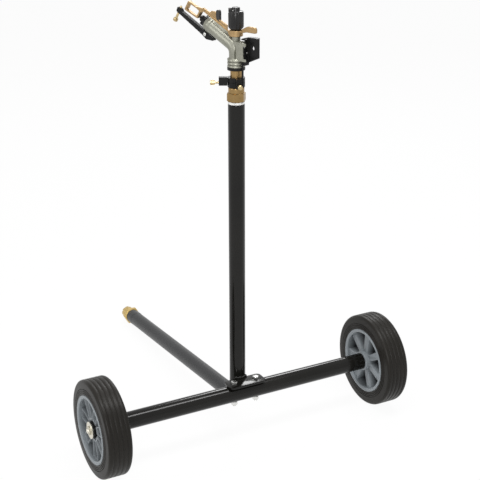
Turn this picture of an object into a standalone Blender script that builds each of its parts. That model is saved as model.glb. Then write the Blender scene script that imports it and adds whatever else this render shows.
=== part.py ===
"""Wheeled garden sprinkler: a two-wheeled cart with a standpipe, a trailing supply leg and an impact head.

Metres, +Z up. The wheels and the far end of the leg stand on z = 0, and the origin is at the
middle of the footprint. The axle runs along X and the leg runs towards +Y. The head's own pieces
are built with the barrel towards their +Y and are turned as one by an empty on the riser's axis.
"""
import math

import bmesh
import bpy
from mathutils import Matrix, Vector

MM = 0.001
GAP = 0.3 * MM              # space left between two pieces that seat on each other

# Wheels
WHEEL_RADIUS = 108 * MM
TYRE_WIDTH = 54 * MM
HALF_TRACK = 344 * MM       # axle's middle to the middle of a wheel
RIM_RADIUS = 75 * MM        # where the hub's lip meets the rubber
RIM_WALL = 3.6 * MM
BEAD_DEPTH = 3.6 * MM       # how far the tyre sits down between the rim's two lips
LIP_WIDTH = 4 * MM
LIP_INSET = 2 * MM          # from the tyre's side to the lip
SHOULDER = 6.5 * MM
TREAD_GROOVES = 4
GROOVE_DEPTH = 1.6 * MM
GROOVE_WIDTH = 2.4 * MM
SPOKES = 7
SPOKE_AT_RIM = 32 * MM
SPOKE_AT_BOSS = 15 * MM
SPOKE_DEPTH = 30 * MM
SPOKE_WALL = 3.2 * MM
BOSS_RADIUS = 21 * MM
BOSS_INBOARD = 24.4 * MM    # from the wheel's middle towards the axle tube
BOSS_OUTBOARD = 20 * MM
BUSH_WALL = 2.4 * MM
LEFT_WHEEL_TURN = -97.0     # degrees, where the first spoke points
RIGHT_WHEEL_TURN = -11.0

# Axle
AXLE_RADIUS = 19.05 * MM
AXLE_WALL = 2.5 * MM
STUB_RADIUS = 6.35 * MM
STUB_RUNNING_GAP = 0.35 * MM
STUB_PROUD = 4 * MM         # thread showing past the nut
PLUG_LENGTH = 30 * MM
AXLE_WASHER_RADIUS = 18.5 * MM
AXLE_WASHER_THICKNESS = 2.6 * MM
AXLE_NUT_ACROSS_FLATS = 19 * MM
AXLE_NUT_HEIGHT = 11 * MM

# Water pipe
PIPE_RADIUS = 16.7 * MM
PIPE_WALL = 2.6 * MM
RISER_TOP = 764.5 * MM
ELBOW_HEIGHT = 74.5 * MM    # where the two pipe axes cross
ELBOW_BEND = 25 * MM        # bend radius of the pipe's axis
LEG_REACH = 588 * MM        # pipe axes' crossing to the socket, along the leg
SOCKET_RADIUS = 18.6 * MM
SOCKET_LENGTH = 34 * MM
HOSE_FLATS = 39 * MM        # adaptor's hexagon, across flats
HOSE_HEX_LENGTH = 12 * MM
HOSE_NUT_RADIUS = 15.8 * MM
HOSE_NUT_LENGTH = 27 * MM

# Saddle bracket
PLATE_THICKNESS = 5 * MM
PLATE_HALF_LENGTH = 43 * MM
PLATE_FRONT = 26 * MM
PLATE_BACK = 24 * MM
PLATE_END_HALF_WIDTH = 14 * MM
WELD_LEG = 5 * MM
BOLT_SPACING = 54 * MM
BOLT_RADIUS = 4 * MM
BOLT_FLATS = 13 * MM
BOLT_HEAD_HEIGHT = 5.5 * MM
BOLT_NUT_HEIGHT = 6.5 * MM
BOLT_PROUD = 3 * MM

# Riser top and bearing
TAPE_HEIGHT = 5 * MM
ADAPTOR_FLATS = 35.5 * MM
ADAPTOR_HEX_HEIGHT = 19 * MM
ADAPTOR_SHOULDER_RADIUS = 16.8 * MM
ADAPTOR_SHOULDER_HEIGHT = 11.5 * MM
SLEEVE_RADIUS = 12.4 * MM
WATERWAY_RADIUS = 9 * MM
COLLAR_RADIUS = 18.2 * MM
COLLAR_HEIGHT = 10 * MM
UPPER_EAR_LENGTH = 18 * MM
LOWER_EAR_LENGTH = 8 * MM
LOWER_THUMBSCREW_SHANK = 2 * MM
EAR_WIDTH = 12 * MM
THUMBSCREW_RADIUS = 2.5 * MM
THUMBSCREW_HEAD_RADIUS = 5.2 * MM
THUMBSCREW_HEAD_LENGTH = 10 * MM
THUMBSCREW_SHANK = 8 * MM           # bare shank between ear and head
SLEEVE_ABOVE_COLLARS = 15.2 * MM
SEAL_RADIUS = 18.7 * MM
SEAL_HEIGHT = 6 * MM

# Head
HEAD_TURN = math.radians(20.35)     # barrel's bearing from +Y towards -X
BASE_RING_RADIUS = 18.4 * MM
BASE_RING_HEIGHT = 19.5 * MM
TUBE_RADIUS = 14.8 * MM
TUBE_WALL = 3.4 * MM
TRAJECTORY = math.radians(26)       # barrel's rise
BEND_ABOVE_BASE = 41.8 * MM         # from the base ring's underside to where the axes cross
HEAD_BEND = 22 * MM                 # bend radius of the waterway's axis
BARREL_LENGTH = 87 * MM
NOZZLE_RADIUS = 11 * MM
NOZZLE_PROUD = 19 * MM
NOZZLE_BORE = 4.5 * MM
PIVOT_BOSS_RADIUS = 9 * MM
WEB_THICKNESS = 4 * MM
WEB_REACH = 26.5 * MM
WEB_ABOVE_BASE = 13 * MM
WEB_HEIGHT = 41.7 * MM
UPPER_PRONG = 9.5 * MM
LOWER_PRONG = 7 * MM
NOTCH_DEPTH = 6.5 * MM
PIN_RADIUS = 3 * MM
PIN_RUNNING_GAP = 0.35 * MM
ARM_HUB_RADIUS = 14.2 * MM
ARM_HUB_HEIGHT = 12 * MM
HUB_SEAT_ABOVE_BEND = 20.4 * MM
THRUST_WASHER = 0.8 * MM
ARM_BAR_AT_HUB = 11.5 * MM          # bar's height beside the hub, and where it meets the spoon
ARM_BAR_AT_SPOON = 7 * MM
ARM_BAR_THICKNESS = 4.6 * MM
ARM_BAR_SIDE = 8 * MM               # barrel's axis to the bar's inner face
ARM_BAR_LENGTH = 69 * MM
ARM_BAR_ABOVE_BEND = 24.6 * MM      # riser axis level with the bar's underside
SPOON_REACH = 111.5 * MM            # riser's axis to the middle of the spoon frame
SPOON_ABOVE_BEND = 63.8 * MM
SPOON_LENGTH = 38.8 * MM
SPOON_HEIGHT = 20.7 * MM
SPOON_RISE = 21.5                   # degrees
SPOON_LEAN = 122.0                  # degrees, direction of its end walls
SPOON_WALL = 3.3 * MM
SPOON_RAIL_DEPTH = 7 * MM
SPOON_VANE_DEPTH = 10 * MM
TAIL_REACH = 55.5 * MM
TAIL_HEIGHT = 12.5 * MM
CAP_RADIUS = 16 * MM
CAP_HEIGHT = 38 * MM
CAP_TAPER = 6 * MM
CAP_CLEARANCE = 0.8 * MM
CAP_WALL = 2.4 * MM
KNOB_RADIUS = 8.3 * MM
KNOB_HEIGHT = 8 * MM
CAP_RIBS = 10
SPRING_WIRE = 0.9 * MM
SPRING_COILS = 5

# Trip lever on the head's back. Heights with RISE are from its pivot
TRIP_PLATE_THICKNESS = 2.4 * MM
TRIP_PLATE_REACH = 60 * MM
TRIP_FLANGE_DEPTH = 11 * MM
FLANGE_RISE = 32 * MM
HOLE_BACK = -44.5 * MM
HOLE_RISE = 10 * MM
KNUCKLE_RADIUS = 4.4 * MM
FOOT_BELOW_WEB = 6 * MM
FINGER_REACH = 19.6 * MM            # riser's axis to the finger's inner face
FINGER_OFFSET = 2 * MM
LEVER_WIDTH = 3.6 * MM
LEVER_THICKNESS = 3 * MM

# Diffuser
DIFFUSER_LENGTH = 87 * MM           # clamp screw to the knurled screw
DIFFUSER_TAIL = 30.5 * MM
DIFFUSER_HEIGHT = 12 * MM
DIFFUSER_THICKNESS = 9 * MM
DIFFUSER_BELOW_BARREL = 8.5 * MM    # barrel's underside to the clamp screw's axis
DIFFUSER_SCREW_HEAD = 5.2 * MM
LUG_THICKNESS = 3.4 * MM
DIFFUSER_SCREW_RADIUS = 2.6 * MM
DIFFUSER_RISE = TRAJECTORY + math.radians(1)
DIFFUSER_SCREW_LEAN = math.radians(4)   # screw's axis from square to the arm

ROUND = 20                  # sides of a plain round piece
WHEEL_SIDES = 28

EPS = 1e-6


# Shapes

def ring_of(sides, radius, turn=0.0):
    """Corners of a regular polygon about the origin."""
    step = 2 * math.pi / sides
    return [(radius * math.cos(turn + k * step), radius * math.sin(turn + k * step)) for k in range(sides)]


def hexagon(across_flats, turn=0.0):
    return ring_of(6, across_flats / math.sqrt(3), turn)


def arc(centre, radius, start, end, steps):
    """Points on an arc, with angles in degrees."""
    points = []
    for k in range(steps + 1):
        angle = math.radians(start + (end - start) * k / steps)
        points.append((centre[0] + radius * math.cos(angle), centre[1] + radius * math.sin(angle)))
    return points


def finish_mesh(bm):
    bmesh.ops.remove_doubles(bm, verts=bm.verts, dist=EPS)
    bmesh.ops.recalc_face_normals(bm, faces=bm.faces)
    return bm


def turned(profile, sides=ROUND):
    """A profile of (radius, height) points spun about Z. It closes on itself or on the axis."""
    bm = bmesh.new()
    verts = [bm.verts.new((radius, 0, height)) for radius, height in profile]
    edges = [bm.edges.new(pair) for pair in zip(verts, verts[1:])]
    if profile[0][0] > EPS or profile[-1][0] > EPS:
        edges.append(bm.edges.new((verts[-1], verts[0])))
    bmesh.ops.spin(bm, geom=verts + edges, cent=(0, 0, 0), axis=(0, 0, 1), angle=2 * math.pi,
                   steps=sides, use_merge=True, use_duplicate=False)
    return finish_mesh(bm)


def tube(outer, inner, low, high, sides=ROUND):
    return turned([(inner, low), (outer, low), (outer, high), (inner, high)], sides)


def rod(radius, low, high, sides=ROUND):
    return turned([(0, low), (radius, low), (radius, high), (0, high)], sides)


def prism(outline, low, high):
    """An outline in XY drawn up along Z."""
    bm = bmesh.new()
    face = bm.faces.new([bm.verts.new((x, y, low)) for x, y in outline])
    grown = bmesh.ops.extrude_face_region(bm, geom=[face])
    verts = [item for item in grown["geom"] if isinstance(item, bmesh.types.BMVert)]
    bmesh.ops.translate(bm, verts=verts, vec=(0, 0, high - low))
    return finish_mesh(bm)


def side_plate(outline, low, high):
    """An outline in the YZ plane, drawn along X from low to high."""
    bm = prism(outline, low, high)
    to_side = Matrix(((0, 0, 1, 0), (1, 0, 0, 0), (0, 1, 0, 0), (0, 0, 0, 1)))
    bmesh.ops.transform(bm, matrix=to_side, verts=bm.verts)
    bmesh.ops.recalc_face_normals(bm, faces=bm.faces)
    return bm


def along(bm, start, direction):
    """Moves a shape that stands on Z so that it starts at a point and follows a direction."""
    turn = Vector((0, 0, 1)).rotation_difference(Vector(direction).normalized())
    matrix = Matrix.Translation(start) @ turn.to_matrix().to_4x4()
    bmesh.ops.transform(bm, matrix=matrix, verts=bm.verts)
    return bm


def swept(points, radius, sides):
    """A round bar along a list of points, made of rings that are bridged and capped."""
    bm = bmesh.new()
    rings = []
    normal = None
    for k, point in enumerate(points):
        before = points[max(k - 1, 0)]
        after = points[min(k + 1, len(points) - 1)]
        tangent = (after - before).normalized()
        if normal is None:
            normal = tangent.orthogonal().normalized()
        normal = (normal - tangent * normal.dot(tangent)).normalized()
        binormal = tangent.cross(normal)
        ring = []
        for x, y in ring_of(sides, radius):
            ring.append(bm.verts.new(point + normal * x + binormal * y))
        rings.append(ring)
    for first, second in zip(rings, rings[1:]):
        for k in range(sides):
            bm.faces.new((first[k], first[(k + 1) % sides], second[(k + 1) % sides], second[k]))
    bm.faces.new(rings[0])
    bm.faces.new(rings[-1])
    return finish_mesh(bm)


# Materials and objects

def material(name, colour, roughness, metallic):
    mat = bpy.data.materials.new(name)
    mat.use_nodes = True
    shader = mat.node_tree.nodes["Principled BSDF"]
    shader.inputs["Base Color"].default_value = (*colour, 1)
    shader.inputs["Roughness"].default_value = roughness
    shader.inputs["Metallic"].default_value = metallic
    return mat


def empty(name, location, rotation=(0, 0, 0), parent=None):
    obj = bpy.data.objects.new(name, None)
    obj.location = location
    obj.rotation_euler = rotation
    obj.parent = parent
    bpy.context.collection.objects.link(obj)
    return obj


def piece(name, bm, mat, parent=None, location=(0, 0, 0), rotation=(0, 0, 0)):
    mesh = bpy.data.meshes.new(name)
    bm.to_mesh(mesh)
    bm.free()
    mesh.shade_smooth()
    mesh.set_sharp_from_angle(angle=math.radians(35))
    obj = bpy.data.objects.new(name, mesh)
    obj.location = location
    obj.rotation_euler = rotation
    obj.parent = parent
    bpy.context.collection.objects.link(obj)
    if mat is not None:
        mesh.materials.append(mat)
    return obj


def tool(name, bm, parent=None, location=(0, 0, 0), rotation=(0, 0, 0)):
    """A hidden shape that only cuts or joins."""
    obj = piece(name, bm, None, parent, location, rotation)
    obj.hide_render = True
    obj.display_type = "WIRE"
    return obj


def combine(target, other, operation):
    modifier = target.modifiers.new(other.name, "BOOLEAN")
    modifier.operation = operation
    modifier.object = other
    modifier.solver = "EXACT"


for old in list(bpy.data.objects):
    bpy.data.objects.remove(old)

RUBBER = material("tyre rubber", (0.03, 0.03, 0.03), 0.75, 0.0)
HUB_PLASTIC = material("hub plastic", (0.22, 0.26, 0.28), 0.5, 0.0)
BUSH_PLASTIC = material("bush plastic", (0.75, 0.74, 0.7), 0.5, 0.0)
GLOSS_BLACK = material("black powder coat", (0.012, 0.012, 0.012), 0.22, 0.0)
ZINC_PLATE = material("zinc plating", (0.72, 0.7, 0.6), 0.35, 1.0)
BRASS = material("brass", (0.66, 0.48, 0.24), 0.35, 1.0)
DIE_CAST = material("die cast zinc", (0.55, 0.56, 0.5), 0.4, 1.0)
BLACK_PLASTIC = material("black plastic", (0.02, 0.02, 0.02), 0.45, 0.0)
SEAL_WHITE = material("sealing tape", (0.85, 0.85, 0.83), 0.6, 0.0)
SPRING_STEEL = material("spring steel", (0.5, 0.5, 0.5), 0.3, 1.0)
STEEL = material("plain steel", (0.5, 0.5, 0.48), 0.4, 1.0)

# Places that follow from the sizes

AXLE_HEIGHT = WHEEL_RADIUS
RISER_BACK = AXLE_RADIUS + PIPE_RADIUS + GAP        # the riser stands just behind the axle tube
SOCKET_START = LEG_REACH
SOCKET_END = SOCKET_START + SOCKET_LENGTH
HEX_START = SOCKET_END + GAP
HEX_END = HEX_START + HOSE_HEX_LENGTH
HEX_CORNER = HOSE_FLATS / 2 / math.cos(math.radians(30))     # the hexagon rests on one corner
LEG_FALL = math.asin((ELBOW_HEIGHT - HEX_CORNER) / HEX_END)
for _ in range(8):
    LEG_FALL = math.asin((ELBOW_HEIGHT - HEX_CORNER * math.cos(LEG_FALL)) / HEX_END)
HOSE_NUT_START = HEX_END + GAP
HOSE_NUT_END = HOSE_NUT_START + HOSE_NUT_LENGTH
FAR_END = (RISER_BACK + HOSE_NUT_END * math.cos(LEG_FALL) + HOSE_NUT_RADIUS * math.sin(LEG_FALL))
ORIGIN_Y = (FAR_END - WHEEL_RADIUS) / 2

stand = empty("stand", (0, -ORIGIN_Y, 0))


# Wheels

def tyre_profile():
    """Half the section, from the bead to the tread's middle, then its mirror image."""
    half = TYRE_WIDTH / 2
    lip = half - LIP_INSET - LIP_WIDTH
    bead = RIM_RADIUS - BEAD_DEPTH + GAP
    seat = RIM_RADIUS + GAP
    wall = WHEEL_RADIUS - SHOULDER
    ridge = 1.0 * MM
    side = [(bead, lip - GAP), (seat, lip - GAP), (seat, half - 1 * MM)]
    step = seat + 5 * MM
    side += [(step, half), (step + 1.3 * MM, half - ridge), (step + 2.6 * MM, half)]
    side += [(wall, half)]
    side += [(wall + r, half - SHOULDER + a) for a, r in arc((0, 0), SHOULDER, 30, 90, 2)]
    flat = half - SHOULDER
    pitch = 2 * flat / TREAD_GROOVES
    tread = []
    for k in range(TREAD_GROOVES):
        middle = flat - pitch * (k + 0.5)
        tread += [(WHEEL_RADIUS, middle + GROOVE_WIDTH / 2),
                  (WHEEL_RADIUS - GROOVE_DEPTH, middle),
                  (WHEEL_RADIUS, middle - GROOVE_WIDTH / 2)]
    return side + tread + [(radius, -axial) for radius, axial in reversed(side)]


def hub_rim_profile():
    half = TYRE_WIDTH / 2 - LIP_INSET
    lip = half - LIP_WIDTH
    inside = RIM_RADIUS - BEAD_DEPTH - RIM_WALL
    return [(inside + 1.2 * MM, half), (RIM_RADIUS, half), (RIM_RADIUS, lip), (RIM_RADIUS - BEAD_DEPTH, lip),
            (RIM_RADIUS - BEAD_DEPTH, -lip), (RIM_RADIUS, -lip), (RIM_RADIUS, -half),
            (inside + 1.2 * MM, -half), (inside, -lip), (inside, lip)]


def spoke_shape(inset, low, high, overlap):
    """A bar that widens from the boss to the rim, pointing along +X."""
    inside = RIM_RADIUS - BEAD_DEPTH - RIM_WALL
    start = BOSS_RADIUS - overlap
    end = inside + overlap
    at_boss = SPOKE_AT_BOSS / 2 - inset
    at_rim = SPOKE_AT_RIM / 2 - inset
    return prism([(start, -at_boss), (end, -at_rim), (end, at_rim), (start, at_boss)], low, high)


def wheel(side, centre_x, outward, spoke_turn):
    """One wheel: tyre, spoked hub and bush. Local +Z points outboard."""
    axis = empty(side + "_wheel_axis", (centre_x, 0, AXLE_HEIGHT), (0, outward * math.pi / 2, 0), stand)
    piece(side + "_tyre", turned(tyre_profile(), WHEEL_SIDES), RUBBER, axis)
    hub = piece(side + "_hub", turned(hub_rim_profile(), WHEEL_SIDES), HUB_PLASTIC, axis)
    bore = STUB_RADIUS + STUB_RUNNING_GAP + BUSH_WALL + GAP
    boss = tool(side + "_boss", tube(BOSS_RADIUS, bore, -BOSS_INBOARD, BOSS_OUTBOARD, 20), axis)
    for k in range(SPOKES):
        turn = (0, 0, math.radians(spoke_turn + 360 / SPOKES * k))
        back = -SPOKE_DEPTH / 2
        bar = spoke_shape(0, back, back + SPOKE_DEPTH, 1.5 * MM)
        combine(hub, tool(f"{side}_spoke_{k}", bar, axis, rotation=turn), "UNION")
        channel = spoke_shape(SPOKE_WALL, back + SPOKE_WALL, back + SPOKE_DEPTH + SPOKE_WALL, -3 * MM)
        hollow = tool(f"{side}_channel_{k}", channel, axis, rotation=turn)
        combine(hub, hollow, "DIFFERENCE")
    combine(hub, boss, "UNION")
    piece(side + "_bush", tube(bore - GAP, STUB_RADIUS + STUB_RUNNING_GAP, -BOSS_INBOARD, BOSS_OUTBOARD, 16),
          BUSH_PLASTIC, axis)


wheel("left", -HALF_TRACK, -1, LEFT_WHEEL_TURN)
wheel("right", HALF_TRACK, 1, RIGHT_WHEEL_TURN)


# Axle tube, its plugged stubs, washers and nuts

AXLE_HALF = HALF_TRACK - BOSS_INBOARD - GAP
BOLT_HOLE = BOLT_RADIUS + 0.4 * MM

axle = piece("axle_tube", tube(AXLE_RADIUS, AXLE_RADIUS - AXLE_WALL, -AXLE_HALF, AXLE_HALF), GLOSS_BLACK,
             stand, (0, 0, AXLE_HEIGHT), (0, math.pi / 2, 0))
for side, x in (("left", -BOLT_SPACING / 2), ("right", BOLT_SPACING / 2)):
    drill = tool(side + "_bolt_drill", rod(BOLT_HOLE, -2 * AXLE_RADIUS, 2 * AXLE_RADIUS, 16), stand,
                 (x, 0, AXLE_HEIGHT))
    combine(axle, drill, "DIFFERENCE")


def axle_end(side, outward):
    axis = empty(side + "_axle_end", (0, 0, AXLE_HEIGHT), (0, outward * math.pi / 2, 0), stand)
    plug = AXLE_RADIUS - AXLE_WALL - GAP
    washer = HALF_TRACK + BOSS_OUTBOARD + GAP
    nut = washer + AXLE_WASHER_THICKNESS + GAP
    tip = nut + AXLE_NUT_HEIGHT + STUB_PROUD
    stub = turned([(0, AXLE_HALF - PLUG_LENGTH), (plug, AXLE_HALF - PLUG_LENGTH), (plug, AXLE_HALF),
                   (STUB_RADIUS, AXLE_HALF), (STUB_RADIUS, tip - 1 * MM), (STUB_RADIUS - 1 * MM, tip),
                   (0, tip)], 16)
    piece(side + "_stub_axle", stub, ZINC_PLATE, axis)
    bore = STUB_RADIUS + GAP
    piece(side + "_axle_washer", tube(AXLE_WASHER_RADIUS, bore, washer, washer + AXLE_WASHER_THICKNESS),
          ZINC_PLATE, axis)
    nut_piece = piece(side + "_axle_nut", prism(hexagon(AXLE_NUT_ACROSS_FLATS), nut, nut + AXLE_NUT_HEIGHT),
                      ZINC_PLATE, axis)
    nut_bore = rod(bore, nut - 1 * MM, nut + AXLE_NUT_HEIGHT + 1 * MM, 16)
    combine(nut_piece, tool(side + "_axle_nut_bore", nut_bore, axis), "DIFFERENCE")


axle_end("left", -1)
axle_end("right", 1)


# Saddle plate on the axle, welded to the riser and held down by two bolts

PLATE_LOW = AXLE_HEIGHT + AXLE_RADIUS + GAP
PLATE_HIGH = PLATE_LOW + PLATE_THICKNESS


def plate_outline():
    """Rounded ends, a bowed front and a straight back."""
    end = PLATE_HALF_LENGTH
    half = PLATE_END_HALF_WIDTH
    corner = 9 * MM
    front = [(x, -PLATE_FRONT + 1.5 * MM * (x / (0.4 * end)) ** 2) for x in (-0.4 * end, 0, 0.4 * end)]
    right = arc((end - corner, -half + corner), corner, -70, 0, 3)
    right += arc((end - corner, PLATE_BACK - corner), corner, 0, 90, 3)
    left = arc((-end + corner, PLATE_BACK - corner), corner, 90, 180, 3)
    left += arc((-end + corner, -half + corner), corner, 180, 250, 3)
    return front + right + left


plate = piece("saddle_plate", prism(plate_outline(), PLATE_LOW, PLATE_HIGH), GLOSS_BLACK, stand)
weld_inside = PIPE_RADIUS - 1 * MM
weld_outside = PIPE_RADIUS + WELD_LEG
weld_top = PLATE_HIGH + WELD_LEG
weld = turned([(weld_inside, PLATE_HIGH - 1 * MM), (weld_outside, PLATE_HIGH - 1 * MM),
               (weld_outside, PLATE_HIGH + 0.6 * MM), (PIPE_RADIUS + 2.2 * MM, PLATE_HIGH + 2.6 * MM),
               (PIPE_RADIUS + 1 * MM, weld_top), (weld_inside, weld_top)])
weld_ring = tool("riser_weld", weld, stand, (0, RISER_BACK, 0))
beyond = 60 * MM
weld_keep = prism([(-beyond, -beyond), (beyond, -beyond), (beyond, PLATE_BACK), (-beyond, PLATE_BACK)],
                  PLATE_HIGH - 2 * MM, PLATE_HIGH + 20 * MM)
combine(weld_ring, tool("riser_weld_keep", weld_keep, stand), "INTERSECT")
combine(plate, weld_ring, "UNION")
riser_clearance = tool("riser_clearance", rod(PIPE_RADIUS + GAP, 0, RISER_TOP / 2), stand, (0, RISER_BACK, 0))
combine(plate, riser_clearance, "DIFFERENCE")


def saddle_bolt(side, x):
    spot = empty(side + "_bolt_axis", (x, 0, 0), parent=stand)
    hole = tool(side + "_plate_hole", rod(BOLT_HOLE, PLATE_LOW - 5 * MM, PLATE_HIGH + 5 * MM, 16), spot)
    combine(plate, hole, "DIFFERENCE")
    head = PLATE_HIGH + GAP
    nut_top = AXLE_HEIGHT - AXLE_RADIUS - GAP
    nut_low = nut_top - BOLT_NUT_HEIGHT
    bolt_head = prism(hexagon(BOLT_FLATS, 0.4), head, head + BOLT_HEAD_HEIGHT)
    bolt = piece(side + "_saddle_bolt", bolt_head, ZINC_PLATE, spot)
    shank = tool(side + "_bolt_shank", rod(BOLT_RADIUS, nut_low - BOLT_PROUD, head + 1 * MM, 16), spot)
    combine(bolt, shank, "UNION")
    nut = piece(side + "_saddle_nut", prism(hexagon(BOLT_FLATS, 0.2), nut_low, nut_top), ZINC_PLATE, spot)
    bore = rod(BOLT_RADIUS + GAP, nut_low - 1 * MM, nut_top + 1 * MM, 16)
    combine(nut, tool(side + "_saddle_nut_bore", bore, spot), "DIFFERENCE")


saddle_bolt("left", -BOLT_SPACING / 2)
saddle_bolt("right", BOLT_SPACING / 2)


# Riser, elbow and supply leg

PIPE_BORE = PIPE_RADIUS - PIPE_WALL
ELBOW_SWEEP = math.pi / 2 - LEG_FALL                # how far the pipe turns
ELBOW_RUN = ELBOW_BEND * math.tan(ELBOW_SWEEP / 2)
ELBOW_TOP = ELBOW_HEIGHT + ELBOW_RUN
CROSSING = Vector((0, RISER_BACK, ELBOW_HEIGHT))

riser_axis = empty("riser_axis", (0, RISER_BACK, 0), parent=stand)
piece("riser_pipe", tube(PIPE_RADIUS, PIPE_BORE, ELBOW_TOP + GAP, RISER_TOP), GLOSS_BLACK, riser_axis)


def elbow():
    """One pipe section spun through the turn between riser and leg."""
    bm = bmesh.new()
    outer = [bm.verts.new((x, y, ELBOW_TOP)) for x, y in ring_of(ROUND, PIPE_RADIUS)]
    inner = [bm.verts.new((x, y, ELBOW_TOP)) for x, y in ring_of(ROUND, PIPE_BORE)]
    for k in range(ROUND):
        n = (k + 1) % ROUND
        bm.faces.new((outer[k], outer[n], inner[n], inner[k]))
    section = list(bm.verts) + list(bm.edges) + list(bm.faces)
    bmesh.ops.spin(bm, geom=section, cent=(0, ELBOW_BEND, ELBOW_TOP), axis=(1, 0, 0), angle=ELBOW_SWEEP,
                   steps=5, use_duplicate=False)
    return finish_mesh(bm)


piece("base_elbow", elbow(), GLOSS_BLACK, riser_axis)

# The leg's empty has +Z along the leg, from the crossing of the two pipe axes
leg_axis = empty("leg_axis", CROSSING, (-(math.pi / 2 + LEG_FALL), 0, 0), stand)
SOCKET_BORE = PIPE_RADIUS + GAP
leg = piece("supply_leg", tube(PIPE_RADIUS, PIPE_BORE, ELBOW_RUN + GAP, SOCKET_START + SOCKET_LENGTH / 2),
            GLOSS_BLACK, leg_axis)
socket_profile = [(SOCKET_BORE, SOCKET_START), (SOCKET_RADIUS - 1 * MM, SOCKET_START),
                  (SOCKET_RADIUS, SOCKET_START + 1 * MM), (SOCKET_RADIUS, SOCKET_END - 1 * MM),
                  (SOCKET_RADIUS - 1 * MM, SOCKET_END), (SOCKET_BORE, SOCKET_END)]
piece("leg_socket", turned(socket_profile), GLOSS_BLACK, leg_axis)

# Hose adaptor: a spigot in the socket, a hexagon against its end and a collar that holds the swivel nut
SPIGOT_RADIUS = SOCKET_BORE - GAP
NUT_NECK_RADIUS = 11 * MM
NUT_HEAD_RADIUS = 12.8 * MM
NUT_HEAD_HEIGHT = 2.5 * MM
NUT_FLOOR = 4 * MM
HOSE_BORE = 9 * MM
HOSE_NUT_WALL_RADIUS = 13.2 * MM
hex_turn = math.radians(30)
adaptor = piece("hose_adaptor", prism(hexagon(HOSE_FLATS, hex_turn), HEX_START, HEX_END), BRASS, leg_axis)
SPIGOT_START = SOCKET_START + SOCKET_LENGTH / 2 + GAP
NUT_HEAD_START = HOSE_NUT_START + NUT_FLOOR + GAP
NUT_HEAD_END = NUT_HEAD_START + NUT_HEAD_HEIGHT
spigot = turned([(0, SPIGOT_START), (SPIGOT_RADIUS, SPIGOT_START), (SPIGOT_RADIUS, HEX_START + 1 * MM),
                 (NUT_NECK_RADIUS, HEX_START + 1 * MM), (NUT_NECK_RADIUS, NUT_HEAD_START),
                 (NUT_HEAD_RADIUS, NUT_HEAD_START), (NUT_HEAD_RADIUS, NUT_HEAD_END), (0, NUT_HEAD_END)], 20)
combine(adaptor, tool("hose_spigot", spigot, leg_axis), "UNION")
hose_waterway = rod(HOSE_BORE, SOCKET_START, HOSE_NUT_END + 5 * MM, 16)
combine(adaptor, tool("hose_waterway", hose_waterway, leg_axis), "DIFFERENCE")

# Swivel nut with eight finger lobes, and its washer
nut_outline = []
for k in range(8):
    middle = 45 * k
    nut_outline += [(HOSE_NUT_RADIUS * math.cos(math.radians(middle + d)),
                     HOSE_NUT_RADIUS * math.sin(math.radians(middle + d))) for d in (-12, 12)]
    nut_outline.append(((HOSE_NUT_RADIUS - 1.2 * MM) * math.cos(math.radians(middle + 22.5)),
                        (HOSE_NUT_RADIUS - 1.2 * MM) * math.sin(math.radians(middle + 22.5))))
hose_nut = piece("hose_nut", prism(nut_outline, HOSE_NUT_START, HOSE_NUT_END), BRASS, leg_axis)
NUT_CAVITY_START = HOSE_NUT_START + NUT_FLOOR
nut_hollow = turned([(0, HOSE_NUT_START - 1 * MM), (NUT_NECK_RADIUS + GAP, HOSE_NUT_START - 1 * MM),
                     (NUT_NECK_RADIUS + GAP, NUT_CAVITY_START), (HOSE_NUT_WALL_RADIUS, NUT_CAVITY_START),
                     (HOSE_NUT_WALL_RADIUS, HOSE_NUT_END + 1 * MM), (0, HOSE_NUT_END + 1 * MM)], 20)
combine(hose_nut, tool("hose_nut_hollow", nut_hollow, leg_axis), "DIFFERENCE")
WASHER_START = NUT_HEAD_END + GAP
piece("hose_washer", tube(HOSE_NUT_WALL_RADIUS - GAP, HOSE_BORE, WASHER_START, WASHER_START + 2.4 * MM, 20),
      RUBBER, leg_axis)


# Riser top: sealing tape, brass adaptor and bearing sleeve. Heights are from the riser's top

riser_top = empty("riser_top", (0, RISER_BACK, RISER_TOP), parent=stand)
HEX_LOW = TAPE_HEIGHT + 2 * GAP
HEX_HIGH = HEX_LOW + ADAPTOR_HEX_HEIGHT
SHOULDER_HIGH = HEX_HIGH + ADAPTOR_SHOULDER_HEIGHT
COLLARS_LOW = SHOULDER_HIGH + GAP
COLLARS_HIGH = COLLARS_LOW + 2 * COLLAR_HEIGHT + GAP
SEAL_LOW = COLLARS_HIGH + SLEEVE_ABOVE_COLLARS
BASE_LOW = SEAL_LOW + SEAL_HEIGHT + GAP              # underside of the head's base rings
SPIGOT_DEPTH = 18 * MM
SLEEVE_TOP = BASE_LOW + 10 * MM                     # the sleeve's upper end turns inside the head's base

piece("sealing_tape", tube(PIPE_RADIUS + 0.4 * MM, PIPE_BORE, GAP, GAP + TAPE_HEIGHT), SEAL_WHITE, riser_top)
ADAPTOR_HEX_TURN = 0.35                             # radians
adaptor_hex = prism(hexagon(ADAPTOR_FLATS, ADAPTOR_HEX_TURN), HEX_LOW, HEX_HIGH)
riser_adaptor = piece("riser_adaptor", adaptor_hex, BRASS, riser_top)
neck = turned([(0, -SPIGOT_DEPTH), (PIPE_BORE - GAP, -SPIGOT_DEPTH), (PIPE_BORE - GAP, HEX_LOW + 1 * MM),
               (ADAPTOR_SHOULDER_RADIUS, HEX_LOW + 1 * MM), (ADAPTOR_SHOULDER_RADIUS, SHOULDER_HIGH - 2 * MM),
               (ADAPTOR_SHOULDER_RADIUS - 2 * MM, SHOULDER_HIGH), (0, SHOULDER_HIGH)])
combine(riser_adaptor, tool("adaptor_neck", neck, riser_top), "UNION")
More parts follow.
